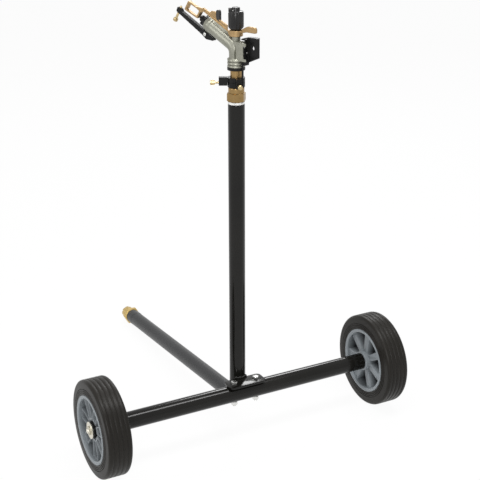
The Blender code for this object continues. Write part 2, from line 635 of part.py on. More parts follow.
socket = rod(SLEEVE_RADIUS + GAP, HEX_LOW + 4 * MM, SHOULDER_HIGH + 1 * MM)
combine(riser_adaptor, tool("adaptor_socket", socket, riser_top), "DIFFERENCE")
adaptor_waterway = rod(WATERWAY_RADIUS, -SPIGOT_DEPTH - 1 * MM, SHOULDER_HIGH, 16)
combine(riser_adaptor, tool("adaptor_waterway", adaptor_waterway, riser_top), "DIFFERENCE")
sleeve = turned([(WATERWAY_RADIUS, HEX_LOW + 4 * MM + GAP), (SLEEVE_RADIUS, HEX_LOW + 4 * MM + GAP),
                 (SLEEVE_RADIUS, SLEEVE_TOP), (WATERWAY_RADIUS, SLEEVE_TOP)])
piece("bearing_sleeve", sleeve, BRASS, riser_top)


# Two trip collars that clamp on the sleeve, each with an ear and a thumbscrew

def thumbscrew(start, ear_length, bare):
    """A knurled head on a plain shank that points outward along +Z from the ear's face."""
    shank = THUMBSCREW_RADIUS
    face = start + bare
    knurl = [(0, start - 0.55 * ear_length), (shank, start - 0.55 * ear_length), (shank, face),
             (THUMBSCREW_HEAD_RADIUS - 1 * MM, face + 0.5 * MM), (THUMBSCREW_HEAD_RADIUS, face + 1.5 * MM),
             (THUMBSCREW_HEAD_RADIUS, face + THUMBSCREW_HEAD_LENGTH - 1 * MM),
             (THUMBSCREW_HEAD_RADIUS - 1 * MM, face + THUMBSCREW_HEAD_LENGTH),
             (0, face + THUMBSCREW_HEAD_LENGTH)]
    return turned(knurl, 12)


def trip_collar(name, low, bearing, ear_length, ear_low, screw_height, bare_shank):
    """A ring with a clamping ear. Local +X points along the ear."""
    axis = empty(name + "_axis", (0, 0, 0), (0, 0, bearing), riser_top)
    high = low + COLLAR_HEIGHT
    collar = piece(name, tube(COLLAR_RADIUS, SLEEVE_RADIUS + GAP, low, high), BLACK_PLASTIC, axis)
    reach = COLLAR_RADIUS + ear_length
    inner = SLEEVE_RADIUS + 2 * MM
    root = prism([(inner, -EAR_WIDTH / 2), (reach, -EAR_WIDTH / 2), (reach, EAR_WIDTH / 2),
                  (inner, EAR_WIDTH / 2)], low, high)
    combine(collar, tool(name + "_root", root, axis), "UNION")
    outer = COLLAR_RADIUS + 1.2 * MM
    ear = tool(name + "_ear", prism([(outer, -EAR_WIDTH / 2), (reach, -EAR_WIDTH / 2), (reach, EAR_WIDTH / 2),
                                     (outer, EAR_WIDTH / 2)], ear_low, COLLARS_HIGH), axis)
    combine(collar, ear, "UNION")
    hole = rod(THUMBSCREW_RADIUS + GAP, COLLAR_RADIUS + 2 * MM, reach + 1 * MM, 16)
    along(hole, (0, 0, screw_height), (1, 0, 0))
    combine(collar, tool(name + "_hole", hole, axis), "DIFFERENCE")
    screw_axis = empty(name + "_screw_axis", (0, 0, screw_height), (0, math.pi / 2, 0), axis)
    screw = thumbscrew(reach, ear_length, bare_shank)
    piece(name.replace("collar", "thumbscrew"), screw, BRASS, screw_axis)


LOWER_EAR_BEARING = math.radians(-104.4)
UPPER_EAR_BEARING = math.radians(152.4)
COLLARS_MIDDLE = (COLLARS_LOW + COLLARS_HIGH) / 2
trip_collar("lower_trip_collar", COLLARS_LOW, LOWER_EAR_BEARING, LOWER_EAR_LENGTH,
            COLLARS_LOW, COLLARS_MIDDLE - 4.4 * MM, LOWER_THUMBSCREW_SHANK)
trip_collar("upper_trip_collar", COLLARS_LOW + COLLAR_HEIGHT + GAP, UPPER_EAR_BEARING, UPPER_EAR_LENGTH,
            COLLARS_LOW + 3 * MM, COLLARS_MIDDLE - 1.7 * MM, THUMBSCREW_SHANK)


# Head body: base rings, tube, bend and barrel as one loft, with the web, pivot boss and diffuser lug

head = empty("head_axis", (0, 0, 0), (0, 0, HEAD_TURN), riser_top)
BEND_HEIGHT = BASE_LOW + BEND_ABOVE_BASE            # where the tube's and the barrel's axes cross
BEND_SWEEP = math.pi / 2 - TRAJECTORY
BEND_RUN = HEAD_BEND * math.tan(BEND_SWEEP / 2)
BARREL_SLOPE = math.tan(TRAJECTORY)
HUB_SEAT = BEND_HEIGHT + HUB_SEAT_ABOVE_BEND
SWIVEL_GAP = 0.35 * MM


def ring_at(y, z, lean, radius, sides):
    """A ring of points square to a direction that leans from +Z towards +Y."""
    points = []
    for across, up in ring_of(sides, radius):
        points.append(Vector((across, y + up * math.cos(lean), z - up * math.sin(lean))))
    return points


def waterway_rings(vertical, barrel, sides):
    """Rings up the tube, round the bend and out along the barrel. Each list holds (place, radius)."""
    rings = [ring_at(0, height, 0, radius, sides) for height, radius in vertical]
    radius = vertical[-1][1]
    steps = 6
    for k in range(steps + 1):
        lean = BEND_SWEEP * k / steps
        y = HEAD_BEND * (1 - math.cos(lean))
        z = BEND_HEIGHT - BEND_RUN + HEAD_BEND * math.sin(lean)
        rings.append(ring_at(y, z, lean, radius, sides))
    for distance, radius in barrel:
        y = distance * math.cos(TRAJECTORY)
        z = BEND_HEIGHT + distance * math.sin(TRAJECTORY)
        rings.append(ring_at(y, z, BEND_SWEEP, radius, sides))
    return rings


def loft(rings):
    """Joins rings of equal count with faces and closes both ends."""
    bm = bmesh.new()
    grown = [[bm.verts.new(point) for point in ring] for ring in rings]
    count = len(grown[0])
    for first, second in zip(grown, grown[1:]):
        for k in range(count):
            n = (k + 1) % count
            bm.faces.new((first[k], first[n], second[n], second[k]))
    bm.faces.new(grown[0])
    bm.faces.new(grown[-1])
    return finish_mesh(bm)


def base_profile():
    """Three raised rings below the plain tube."""
    pitch = BASE_RING_HEIGHT / 3
    groove = BASE_RING_RADIUS - 1.4 * MM
    profile = []
    for k in range(3):
        low = BASE_LOW + pitch * k
        profile += [(low, BASE_RING_RADIUS), (low + 0.62 * pitch, BASE_RING_RADIUS)]
        if k < 2:
            profile += [(low + 0.72 * pitch, groove), (low + 0.92 * pitch, groove)]
    profile += [(BASE_LOW + BASE_RING_HEIGHT, TUBE_RADIUS), (BEND_HEIGHT - BEND_RUN - 1 * MM, TUBE_RADIUS)]
    return profile


barrel_profile = [(BARREL_LENGTH - 1.5 * MM, TUBE_RADIUS), (BARREL_LENGTH, TUBE_RADIUS - 1 * MM)]
body = piece("head_body", loft(waterway_rings(base_profile(), barrel_profile, ROUND)), DIE_CAST, head)

pivot_boss = rod(PIVOT_BOSS_RADIUS, BEND_HEIGHT + 6 * MM, HUB_SEAT + 2 * MM, 16)
combine(body, tool("pivot_boss", pivot_boss, head), "UNION")

# The web is a C in the head's middle plane: two prongs round the trip lever's pivot
WEB_LOW = BASE_LOW + WEB_ABOVE_BASE
WEB_HIGH = WEB_LOW + WEB_HEIGHT
NOTCH_LOW = WEB_LOW + LOWER_PRONG
NOTCH_HIGH = WEB_HIGH - UPPER_PRONG
LEVER_PIVOT = (NOTCH_LOW + NOTCH_HIGH) / 2
inside_tube = -TUBE_RADIUS + 5 * MM
web_outline = [(inside_tube, WEB_LOW), (-WEB_REACH, WEB_LOW), (-WEB_REACH, NOTCH_LOW),
               (-WEB_REACH + NOTCH_DEPTH, NOTCH_LOW), (-WEB_REACH + NOTCH_DEPTH, NOTCH_HIGH),
               (-WEB_REACH, NOTCH_HIGH), (-WEB_REACH, WEB_HIGH), (4 * MM, WEB_HIGH),
               (4 * MM, WEB_HIGH - 12 * MM), (inside_tube, WEB_HIGH - 26 * MM)]
combine(body, tool("web", side_plate(web_outline, -WEB_THICKNESS / 2, WEB_THICKNESS / 2), head), "UNION")

# Diffuser lug under the barrel's mouth, round the clamp screw
lug_along = BARREL_LENGTH - 6 * MM
lug_below = TUBE_RADIUS + DIFFUSER_BELOW_BARREL
DIFFUSER_Y = lug_along * math.cos(TRAJECTORY) + lug_below * math.sin(TRAJECTORY)
DIFFUSER_Z = BEND_HEIGHT + lug_along * math.sin(TRAJECTORY) - lug_below * math.cos(TRAJECTORY)
LUG_RADIUS = 4.6 * MM
lug_outline = arc((DIFFUSER_Y, DIFFUSER_Z), LUG_RADIUS, 206, 386, 6)
lug_root = DIFFUSER_BELOW_BARREL + 2 * MM
spot = Vector((DIFFUSER_Y - lug_root * math.sin(TRAJECTORY), DIFFUSER_Z + lug_root * math.cos(TRAJECTORY)))
for angle in (0, 180):
    side = math.radians(angle + math.degrees(TRAJECTORY))
    lug_outline.append((spot.x + LUG_RADIUS * math.cos(side), spot.y + LUG_RADIUS * math.sin(side)))
diffuser_lug = side_plate(lug_outline, -LUG_THICKNESS / 2, LUG_THICKNESS / 2)
combine(body, tool("diffuser_lug", diffuser_lug, head), "UNION")

# One cut faces the boss off and clears the arm's hub where the barrel's back would touch it
hub_clearance = rod(ARM_HUB_RADIUS + 1.2 * MM, HUB_SEAT, HUB_SEAT + 20 * MM)
combine(body, tool("hub_clearance", hub_clearance, head), "DIFFERENCE")

BORE = TUBE_RADIUS - TUBE_WALL - 1.4 * MM
NOZZLE_SEAT = BARREL_LENGTH - 18 * MM
NOZZLE_SPIGOT = TUBE_RADIUS - TUBE_WALL
RUNNING_BORE = SLEEVE_RADIUS + SWIVEL_GAP
bore_vertical = [(BASE_LOW - 1 * MM, RUNNING_BORE), (SLEEVE_TOP + GAP, RUNNING_BORE),
                 (SLEEVE_TOP + 2 * GAP, BORE), (BEND_HEIGHT - BEND_RUN - 1 * MM, BORE)]
bore_barrel = [(NOZZLE_SEAT, BORE), (NOZZLE_SEAT + 0.1 * MM, NOZZLE_SPIGOT),
               (BARREL_LENGTH + 2 * MM, NOZZLE_SPIGOT)]
combine(body, tool("waterway", loft(waterway_rings(bore_vertical, bore_barrel, 16)), head), "DIFFERENCE")
PIN_DEPTH = 9 * MM
pin_hole = rod(PIN_RADIUS + GAP, HUB_SEAT - PIN_DEPTH, HUB_SEAT + 1 * MM, 16)
combine(body, tool("pin_hole", pin_hole, head), "DIFFERENCE")
LEVER_PIN_RADIUS = 1.3 * MM
LEVER_PIN_IN = TUBE_RADIUS - 1 * MM                 # riser's axis to the pin's inner end
lever_pin_hole = along(rod(LEVER_PIN_RADIUS + GAP, LEVER_PIN_IN - GAP, WEB_REACH, 10), (0, 0, LEVER_PIVOT),
                       (0, -1, 0))
combine(body, tool("lever_pin_hole", lever_pin_hole, head), "DIFFERENCE")
CLAMP_SCREW_RADIUS = 1.8 * MM
clamp_hole = along(rod(CLAMP_SCREW_RADIUS + GAP, -6 * MM, 6 * MM, 12), (0, DIFFUSER_Y, DIFFUSER_Z), (1, 0, 0))
combine(body, tool("lug_hole", clamp_hole, head), "DIFFERENCE")

SEAL_HIGH = SEAL_LOW + SEAL_HEIGHT
seal_corner = SEAL_RADIUS - 0.8 * MM
seal_profile = [(RUNNING_BORE, SEAL_LOW), (seal_corner, SEAL_LOW), (SEAL_RADIUS, SEAL_LOW + 1 * MM),
                (SEAL_RADIUS, SEAL_HIGH - 1 * MM), (seal_corner, SEAL_HIGH), (RUNNING_BORE, SEAL_HIGH)]
piece("bearing_seal", turned(seal_profile), BLACK_PLASTIC, head)

# Nozzle, in an empty whose +Z runs out of the barrel
barrel_axis = empty("barrel_axis", (0, 0, BEND_HEIGHT), (-BEND_SWEEP, 0, 0), head)
NOZZLE_START = BARREL_LENGTH - 16 * MM
NOZZLE_TIP = BARREL_LENGTH + NOZZLE_PROUD
nozzle_profile = [(NOZZLE_BORE + 4 * MM, NOZZLE_START), (NOZZLE_SPIGOT - GAP, NOZZLE_START),
                  (NOZZLE_SPIGOT - GAP, BARREL_LENGTH + GAP), (NOZZLE_RADIUS, BARREL_LENGTH + GAP),
                  (NOZZLE_RADIUS, BARREL_LENGTH + 7 * MM), (NOZZLE_RADIUS - 2.5 * MM, BARREL_LENGTH + 8 * MM),
                  (NOZZLE_RADIUS - 4 * MM, NOZZLE_TIP), (NOZZLE_BORE, NOZZLE_TIP)]
nozzle = piece("nozzle", turned(nozzle_profile, 16), BLACK_PLASTIC, barrel_axis)
for k in range(4):
    fin = prism([(NOZZLE_BORE + 1.6 * MM, -1.2 * MM), (NOZZLE_RADIUS + 1 * MM, -1.2 * MM),
                 (NOZZLE_RADIUS + 1 * MM, 1.2 * MM), (NOZZLE_BORE + 1.6 * MM, 1.2 * MM)],
                BARREL_LENGTH + 0.6 * MM, BARREL_LENGTH + 14 * MM)
    fin_turn = (0, 0, math.radians(45 + 90 * k))
    combine(nozzle, tool(f"nozzle_fin_{k}", fin, barrel_axis, rotation=fin_turn), "UNION")


# Impact arm: hub on the pivot pin, side bar, spoon frame and balance paddle, cast in one

WASHER_LOW = HUB_SEAT + GAP
HUB_LOW = WASHER_LOW + THRUST_WASHER + GAP
HUB_HIGH = HUB_LOW + ARM_HUB_HEIGHT
CAP_LOW = HUB_HIGH + GAP
CAP_HIGH = CAP_LOW + CAP_HEIGHT

thrust_washer = tube(PIVOT_BOSS_RADIUS - 1 * MM, PIN_RADIUS + GAP, WASHER_LOW, WASHER_LOW + THRUST_WASHER)
piece("thrust_washer", thrust_washer, BUSH_PLASTIC, head)
arm = piece("impact_arm", tube(ARM_HUB_RADIUS, PIN_RADIUS + PIN_RUNNING_GAP, HUB_LOW, HUB_HIGH), BRASS, head)
BAR_OUT = -ARM_BAR_SIDE - ARM_BAR_THICKNESS
BAR_FROM = 12 * MM                                  # riser's axis to the bar's full section
bar_low = BEND_HEIGHT + ARM_BAR_ABOVE_BEND + BAR_FROM * BARREL_SLOPE
bar_end = BAR_FROM + ARM_BAR_LENGTH
bar_end_low = bar_low + ARM_BAR_LENGTH * BARREL_SLOPE
bar_end_high = bar_end_low + ARM_BAR_AT_SPOON
bar_outline = [(1 * MM, HUB_LOW + 1 * MM), (8 * MM, HUB_LOW + 1 * MM), (BAR_FROM, bar_low),
               (bar_end, bar_end_low), (bar_end, bar_end_high),
               (BAR_FROM + 3 * MM, bar_low + 1.5 * MM + ARM_BAR_AT_HUB),
               (BAR_FROM, bar_low + ARM_BAR_AT_HUB), (4 * MM, HUB_HIGH), (1 * MM, HUB_HIGH)]
combine(arm, tool("arm_bar", side_plate(bar_outline, BAR_OUT, -ARM_BAR_SIDE), head), "UNION")


def spoon_corners(wall):
    """The frame's long edges follow the jet and its end walls lean back from it."""
    along_jet = Vector((math.cos(math.radians(SPOON_RISE)), math.sin(math.radians(SPOON_RISE))))
    up = Vector((math.cos(math.radians(SPOON_LEAN)), math.sin(math.radians(SPOON_LEAN))))
    centre = Vector((SPOON_REACH, BEND_HEIGHT + SPOON_ABOVE_BEND))
    half_length = (SPOON_LENGTH / 2 - wall) * along_jet
    half_height = (SPOON_HEIGHT / 2 - 0.7 * wall) * up
    corners = (centre - half_length - half_height, centre + half_length - half_height,
               centre + half_length + half_height, centre - half_length + half_height)
    return [tuple(corner) for corner in corners]


SPOON_FACE = BAR_OUT + 1.6 * MM                     # the frame's outer face
near_low, far_low, far_high, near_high = spoon_corners(0)
spoon_rails = side_plate([near_low, far_low, far_high, near_high], SPOON_FACE, SPOON_FACE + SPOON_RAIL_DEPTH)
combine(arm, tool("spoon_rails", spoon_rails, head), "UNION")
inner_near_low, inner_far_low, inner_far_high, inner_near_high = spoon_corners(SPOON_WALL)
for name, low, high, inner_high, inner_low in (("near", near_low, near_high, inner_near_high, inner_near_low),
                                               ("far", far_low, far_high, inner_far_high, inner_far_low)):
    vane = side_plate([low, high, inner_high, inner_low], SPOON_FACE + 1 * MM, SPOON_FACE + SPOON_VANE_DEPTH)
    combine(arm, tool(name + "_vane", vane, head), "UNION")
spoon_neck = [(bar_end - 4 * MM, bar_end_low - 1 * MM), (near_high[0] + 1 * MM, near_high[1] - 5 * MM),
              (near_high[0] + 15 * MM, near_high[1] + 4 * MM), (near_high[0] + 16 * MM, bar_end_high),
              (bar_end - 4 * MM, bar_end_high - 2 * MM)]
combine(arm, tool("spoon_neck", side_plate(spoon_neck, BAR_OUT, -ARM_BAR_SIDE), head), "UNION")
window = side_plate(spoon_corners(SPOON_WALL), -30 * MM, 30 * MM)
combine(arm, tool("spoon_window", window, head), "DIFFERENCE")

PADDLE_FROM = 31 * MM
paddle_top = HUB_HIGH + 11.5 * MM
paddle_low = paddle_top - TAIL_HEIGHT
tail_outline = [(-6 * MM, HUB_LOW + 4 * MM), (-6 * MM, HUB_HIGH - 1 * MM), (-14 * MM, HUB_HIGH + 1 * MM),
                (-23 * MM, HUB_HIGH + 6.5 * MM), (-PADDLE_FROM, paddle_top - 1 * MM),
                (-PADDLE_FROM - 5 * MM, paddle_top), (-TAIL_REACH + 3 * MM, paddle_top),
                (-TAIL_REACH, paddle_top - 3 * MM), (-TAIL_REACH, paddle_low + 2 * MM),
                (-TAIL_REACH + 2 * MM, paddle_low), (-PADDLE_FROM, paddle_low),
                (-20 * MM, HUB_HIGH - 3.5 * MM)]
combine(arm, tool("balance_paddle", side_plate(tail_outline, -2.4 * MM, 2.4 * MM), head), "UNION")

# Bar and tail stay clear of the spring cap that stands over the hub
cap_clearance = rod(CAP_RADIUS + CAP_CLEARANCE, HUB_HIGH, CAP_HIGH)
combine(arm, tool("cap_clearance", cap_clearance, head), "DIFFERENCE")

# A lug on the bar carries the rubber bumper
LUG_FROM = 44 * MM
LUG_TO = 61 * MM
lug_foot = bar_low + (LUG_FROM - BAR_FROM) * BARREL_SLOPE
lug_top = lug_foot + 21 * MM
lug_far_foot = lug_foot + (LUG_TO - LUG_FROM) * BARREL_SLOPE
lug = side_plate([(LUG_FROM, lug_foot + 3 * MM), (LUG_TO, lug_far_foot + 3 * MM), (LUG_TO, lug_top - 4 * MM),
                  (LUG_TO - 4 * MM, lug_top), (LUG_FROM + 2 * MM, lug_top), (LUG_FROM, lug_top - 2 * MM)],
                 BAR_OUT, -ARM_BAR_SIDE)
combine(arm, tool("bumper_lug", lug, head), "UNION")
BUMPER_THICKNESS = 9 * MM
bar_top_slope = (ARM_BAR_AT_SPOON - ARM_BAR_AT_HUB) / ARM_BAR_LENGTH + BARREL_SLOPE
bumper_foot = bar_low + ARM_BAR_AT_HUB + (LUG_FROM - BAR_FROM) * bar_top_slope + 1.6 * MM
bumper_back = LUG_FROM - GAP
bumper_front = bumper_back - BUMPER_THICKNESS
bumper_front_foot = bumper_foot - BUMPER_THICKNESS * bar_top_slope
bumper = side_plate([(bumper_front, bumper_front_foot), (bumper_back, bumper_foot),
                     (bumper_back, lug_top + 2 * MM), (bumper_back - 3 * MM, lug_top + 4 * MM),
                     (bumper_front + 3 * MM, lug_top + 4 * MM), (bumper_front, lug_top + 1 * MM)],
                    BAR_OUT, -ARM_BAR_SIDE + 2 * MM)
piece("arm_bumper", bumper, BLACK_PLASTIC, head)


# Pivot pin, spring and ribbed spring cap

CAP_BORE = 9.5 * MM
PIN_TOP = CAP_HIGH + 4 * MM
PIN_SEAT = CAP_HIGH - 3 * MM                        # underside of the cap's roof
piece("pivot_pin", rod(PIN_RADIUS, HUB_SEAT - PIN_DEPTH + GAP, PIN_TOP, 16), STEEL, head)
cap_wall = CAP_RADIUS - 0.7 * MM                    # the wall's outside between the ribs
cap_shell = turned([(0, CAP_LOW), (CAP_RADIUS - 5 * MM, CAP_LOW), (cap_wall, CAP_LOW + CAP_TAPER),
                    (cap_wall, CAP_HIGH - 1 * MM), (CAP_RADIUS - 2 * MM, CAP_HIGH),
                    (KNOB_RADIUS, CAP_HIGH), (KNOB_RADIUS, CAP_HIGH + KNOB_HEIGHT - 1 * MM),
                    (KNOB_RADIUS - 1 * MM, CAP_HIGH + KNOB_HEIGHT), (0, CAP_HIGH + KNOB_HEIGHT)], 18)
cap = piece("spring_cap", cap_shell, BLACK_PLASTIC, head)
rib_outline = []
for k in range(CAP_RIBS):
    for share, radius in ((-0.45, CAP_RADIUS - 1.2 * MM), (-0.25, CAP_RADIUS), (0.25, CAP_RADIUS)):
        angle = 2 * math.pi * (k + share) / CAP_RIBS
        rib_outline.append((radius * math.cos(angle), radius * math.sin(angle)))
ribs = prism(rib_outline, CAP_LOW + CAP_TAPER, CAP_HIGH - 3 * MM)
combine(cap, tool("cap_ribs", ribs, head), "UNION")
TAB_THICKNESS = 3 * MM
tab = prism([(-CAP_RADIUS + 0.6 * MM, -TAB_THICKNESS / 2), (-KNOB_RADIUS + 1 * MM, -TAB_THICKNESS / 2),
             (-KNOB_RADIUS + 1 * MM, TAB_THICKNESS / 2), (-CAP_RADIUS + 0.6 * MM, TAB_THICKNESS / 2)],
            CAP_HIGH - 2 * MM, CAP_HIGH + 0.8 * KNOB_HEIGHT)
combine(cap, tool("cap_tab", tab, head, rotation=(0, 0, math.radians(-48))), "UNION")
cap_hollow = CAP_RADIUS - CAP_WALL - 1 * MM
cap_inside = turned([(0, CAP_LOW - 1 * MM), (CAP_BORE, CAP_LOW - 1 * MM), (CAP_BORE, CAP_LOW + 1.5 * MM),
                     (cap_hollow, CAP_LOW + CAP_TAPER), (cap_hollow, PIN_SEAT), (PIN_RADIUS + GAP, PIN_SEAT),
                     (PIN_RADIUS + GAP, PIN_TOP + GAP), (0, PIN_TOP + GAP)], 12)
combine(cap, tool("cap_inside", cap_inside, head), "DIFFERENCE")

# A set screw through the knob's side locks the cap on the pin
CAP_SCREW_RADIUS = 1.6 * MM
CAP_SCREW_BEARING = math.radians(170)
cap_screw_axis = empty("cap_screw_axis", (0, 0, CAP_HIGH + 1.9 * MM), (0, math.pi / 2, CAP_SCREW_BEARING),
                       head)
screw_hole = rod(CAP_SCREW_RADIUS + GAP, 0, KNOB_RADIUS + 2 * MM, 12)
combine(cap, tool("cap_screw_hole", screw_hole, cap_screw_axis), "DIFFERENCE")
cap_screw = rod(CAP_SCREW_RADIUS, PIN_RADIUS + GAP, KNOB_RADIUS + 0.4 * MM, 12)
piece("spring_cap_screw", cap_screw, STEEL, cap_screw_axis)


def coil(radius, low, high, turns, per_turn):
    """Points on a plain helix about Z."""
    points = []
    for k in range(turns * per_turn + 1):
        share = k / (turns * per_turn)
        angle = 2 * math.pi * k / per_turn
        height = low + (high - low) * share
        points.append(Vector((radius * math.cos(angle), radius * math.sin(angle), height)))
    return points


impact_coil = coil(7 * MM, CAP_LOW + SPRING_WIRE + GAP, PIN_SEAT - SPRING_WIRE - GAP, SPRING_COILS, 8)
piece("impact_spring", swept(impact_coil, SPRING_WIRE, 4), SPRING_STEEL, head)


# Trip gear: a black lever that rocks on a pin in the web's notch. It is one moulding with a side plate
# and a bent top flange behind the web, a knuckle in the notch and a finger down to the collars

lever_axis = empty("lever_axis", (0, 0, LEVER_PIVOT), (0, 0, 0), head)
PLATE_NEAR = WEB_THICKNESS / 2 + GAP
PLATE_FAR = PLATE_NEAR + TRIP_PLATE_THICKNESS
LEVER_NEAR = WEB_REACH + 2 * GAP
LEVER_FOOT = WEB_LOW - FOOT_BELOW_WEB
plate_low = LEVER_FOOT - LEVER_PIVOT
skirt = side_plate([(-LEVER_NEAR, plate_low), (-31 * MM, plate_low), (-31.8 * MM, plate_low + 5.5 * MM),
                    (-TRIP_PLATE_REACH, plate_low + 18 * MM), (-TRIP_PLATE_REACH, FLANGE_RISE - 1 * MM),
                    (-LEVER_NEAR, FLANGE_RISE - 3 * MM)], PLATE_NEAR, PLATE_FAR)
lever = piece("trip_lever", skirt, BLACK_PLASTIC, lever_axis)
notch_room = (NOTCH_HIGH - NOTCH_LOW) / 2 - 1.2 * MM
notch_back = -WEB_REACH + NOTCH_DEPTH - GAP
inner = side_plate([(notch_back, -notch_room), (notch_back, notch_room), (-LEVER_NEAR - 1 * MM, notch_room),
                    (-LEVER_NEAR - 1 * MM, -notch_room)], PLATE_NEAR, PLATE_FAR)
combine(lever, tool("lever_inner", inner, lever_axis), "UNION")
knuckle = along(rod(KNUCKLE_RADIUS, -notch_back, LEVER_NEAR + 2 * MM, 16), (0, 0, 0), (0, -1, 0))
combine(lever, tool("lever_knuckle", knuckle, lever_axis), "UNION")
flange_line = [(-TRIP_PLATE_REACH, FLANGE_RISE), (-30 * MM, FLANGE_RISE - 1 * MM),
               (-20 * MM, FLANGE_RISE - 3.4 * MM), (-9 * MM, FLANGE_RISE - 7.5 * MM)]
flange_under = [(y, z - TRIP_PLATE_THICKNESS) for y, z in reversed(flange_line)]
flange = side_plate(flange_line + flange_under, PLATE_NEAR, PLATE_NEAR + TRIP_FLANGE_DEPTH)
combine(lever, tool("lever_flange", flange, lever_axis), "UNION")
foot_high = WEB_LOW - 1.2 * MM - LEVER_PIVOT
finger_near = -FINGER_OFFSET - LEVER_WIDTH
finger_outer = -FINGER_REACH - LEVER_THICKNESS
foot = prism([(finger_near, -FINGER_REACH), (PLATE_FAR, -FINGER_REACH), (PLATE_FAR, -LEVER_NEAR - 3 * MM),
              (finger_near, finger_outer)], plate_low, foot_high)
combine(lever, tool("lever_foot", foot, lever_axis), "UNION")
finger = prism([(finger_near, finger_outer), (-FINGER_OFFSET, finger_outer), (-FINGER_OFFSET, -FINGER_REACH),
                (finger_near, -FINGER_REACH)], COLLARS_LOW + 5 * MM - LEVER_PIVOT, plate_low + 1 * MM)
combine(lever, tool("lever_finger", finger, lever_axis), "UNION")
flange_back = PLATE_NEAR + TRIP_FLANGE_DEPTH + 1 * MM
corner_cut = prism([(flange_back, -TRIP_PLATE_REACH + 8 * MM), (flange_back, -TRIP_PLATE_REACH - 5 * MM),
                    (PLATE_FAR, -TRIP_PLATE_REACH - 5 * MM), (PLATE_FAR, -TRIP_PLATE_REACH + 1 * MM)],
                   FLANGE_RISE - 10 * MM, FLANGE_RISE + 5 * MM)
combine(lever, tool("flange_corner", corner_cut, lever_axis), "DIFFERENCE")
flange_clearance = rod(PIVOT_BOSS_RADIUS + 3 * MM, FLANGE_RISE - 15 * MM, FLANGE_RISE + 5 * MM, 20)
combine(lever, tool("flange_clearance", flange_clearance, lever_axis), "DIFFERENCE")
teardrop = arc((HOLE_BACK, HOLE_RISE), 2.6 * MM, -200, 20, 8) + [(HOLE_BACK, HOLE_RISE + 7 * MM)]
combine(lever, tool("lever_hole", side_plate(teardrop, 0, PLATE_FAR + 2 * MM), lever_axis), "DIFFERENCE")
lever_bore = rod(LEVER_PIN_RADIUS + PIN_RUNNING_GAP, 10 * MM, LEVER_NEAR + 10 * MM, 12)
along(lever_bore, (0, 0, 0), (0, -1, 0))
combine(lever, tool("lever_bore", lever_bore, lever_axis), "DIFFERENCE")
SPRING_ROOM = 4 * MM
spring_pocket = along(rod(KNUCKLE_RADIUS - 1.2 * MM, -notch_back - 1 * MM, -notch_back + SPRING_ROOM, 16),
                      (0, 0, 0), (0, -1, 0))
combine(lever, tool("spring_pocket", spring_pocket, lever_axis), "DIFFERENCE")
pin_out = LEVER_NEAR + 2 * MM + GAP
pin_head = LEVER_PIN_RADIUS + 0.7 * MM
lever_pin = along(turned([(0, LEVER_PIN_IN), (LEVER_PIN_RADIUS, LEVER_PIN_IN), (LEVER_PIN_RADIUS, pin_out),
                          (pin_head, pin_out), (pin_head, pin_out + 1.2 * MM), (0, pin_out + 1.2 * MM)], 12),
                  (0, 0, 0), (0, -1, 0))
piece("trip_pin", lever_pin, STEEL, lever_axis)
TRIP_WIRE = 0.3 * MM
trip_coil = coil(2.1 * MM, -notch_back + TRIP_WIRE, -notch_back + SPRING_ROOM - TRIP_WIRE - GAP, 2, 8)
piece("trip_spring", along(swept(trip_coil, TRIP_WIRE, 4), (0, 0, 0), (0, -1, 0)), SPRING_STEEL, lever_axis)


# Diffuser: a tapered arm forked over the lug, its clamp screw and the knurled screw in its tip

diffuser_axis = empty("diffuser_axis", (0, DIFFUSER_Y, DIFFUSER_Z), (DIFFUSER_RISE, 0, 0), head)
screw_axis = empty("diffuser_screw_axis", (0, DIFFUSER_LENGTH, 0), (DIFFUSER_SCREW_LEAN, 0, 0), diffuser_axis)
half_height = DIFFUSER_HEIGHT / 2
tip_end = DIFFUSER_LENGTH + 5 * MM
arm_outline = [(-DIFFUSER_TAIL, half_height - 3.5 * MM), (-7 * MM, -half_height - 2 * MM),
               (8 * MM, -half_height),
               (tip_end - 2 * MM, -half_height + 2 * MM), (tip_end, -half_height + 4 * MM),
               (tip_end, half_height + 1 * MM), (tip_end - 10 * MM, half_height + 1 * MM),
               (tip_end - 13 * MM, half_height - 2 * MM), (-DIFFUSER_TAIL, half_height)]
diffuser = piece("diffuser_arm", side_plate(arm_outline, -DIFFUSER_THICKNESS / 2, DIFFUSER_THICKNESS / 2),
                 BLACK_PLASTIC, diffuser_axis)
SLOT_HALF = LUG_THICKNESS / 2 + GAP
slot_start = -DIFFUSER_TAIL - 2 * MM
slot_end = LUG_RADIUS + 6 * MM
slot_side = 14 * MM
slot = side_plate([(slot_start, -slot_side), (slot_end, -slot_side), (slot_end, slot_side),
                   (slot_start, slot_side)], -SLOT_HALF, SLOT_HALF)
combine(diffuser, tool("diffuser_slot", slot, diffuser_axis), "DIFFERENCE")
cross_hole = along(rod(CLAMP_SCREW_RADIUS + GAP, -12 * MM, 12 * MM, 12), (0, 0, 0), (1, 0, 0))
combine(diffuser, tool("diffuser_cross_hole", cross_hole, diffuser_axis), "DIFFERENCE")
tip_hole = rod(DIFFUSER_SCREW_RADIUS + GAP, -20 * MM, 20 * MM, 12)
combine(diffuser, tool("diffuser_tip_hole", tip_hole, screw_axis), "DIFFERENCE")
cheek = DIFFUSER_THICKNESS / 2 + GAP
clamp_screw = along(turned([(0, -cheek), (CLAMP_SCREW_RADIUS, -cheek), (CLAMP_SCREW_RADIUS, cheek),
                            (4 * MM, cheek), (4 * MM, cheek + 1.6 * MM), (3 * MM, cheek + 2.4 * MM),
                            (0, cheek + 2.4 * MM)], 16), (0, 0, 0), (-1, 0, 0))
piece("diffuser_clamp_screw", clamp_screw, STEEL, diffuser_axis)
screw_top = 12 * MM
knurl_low = -27 * MM
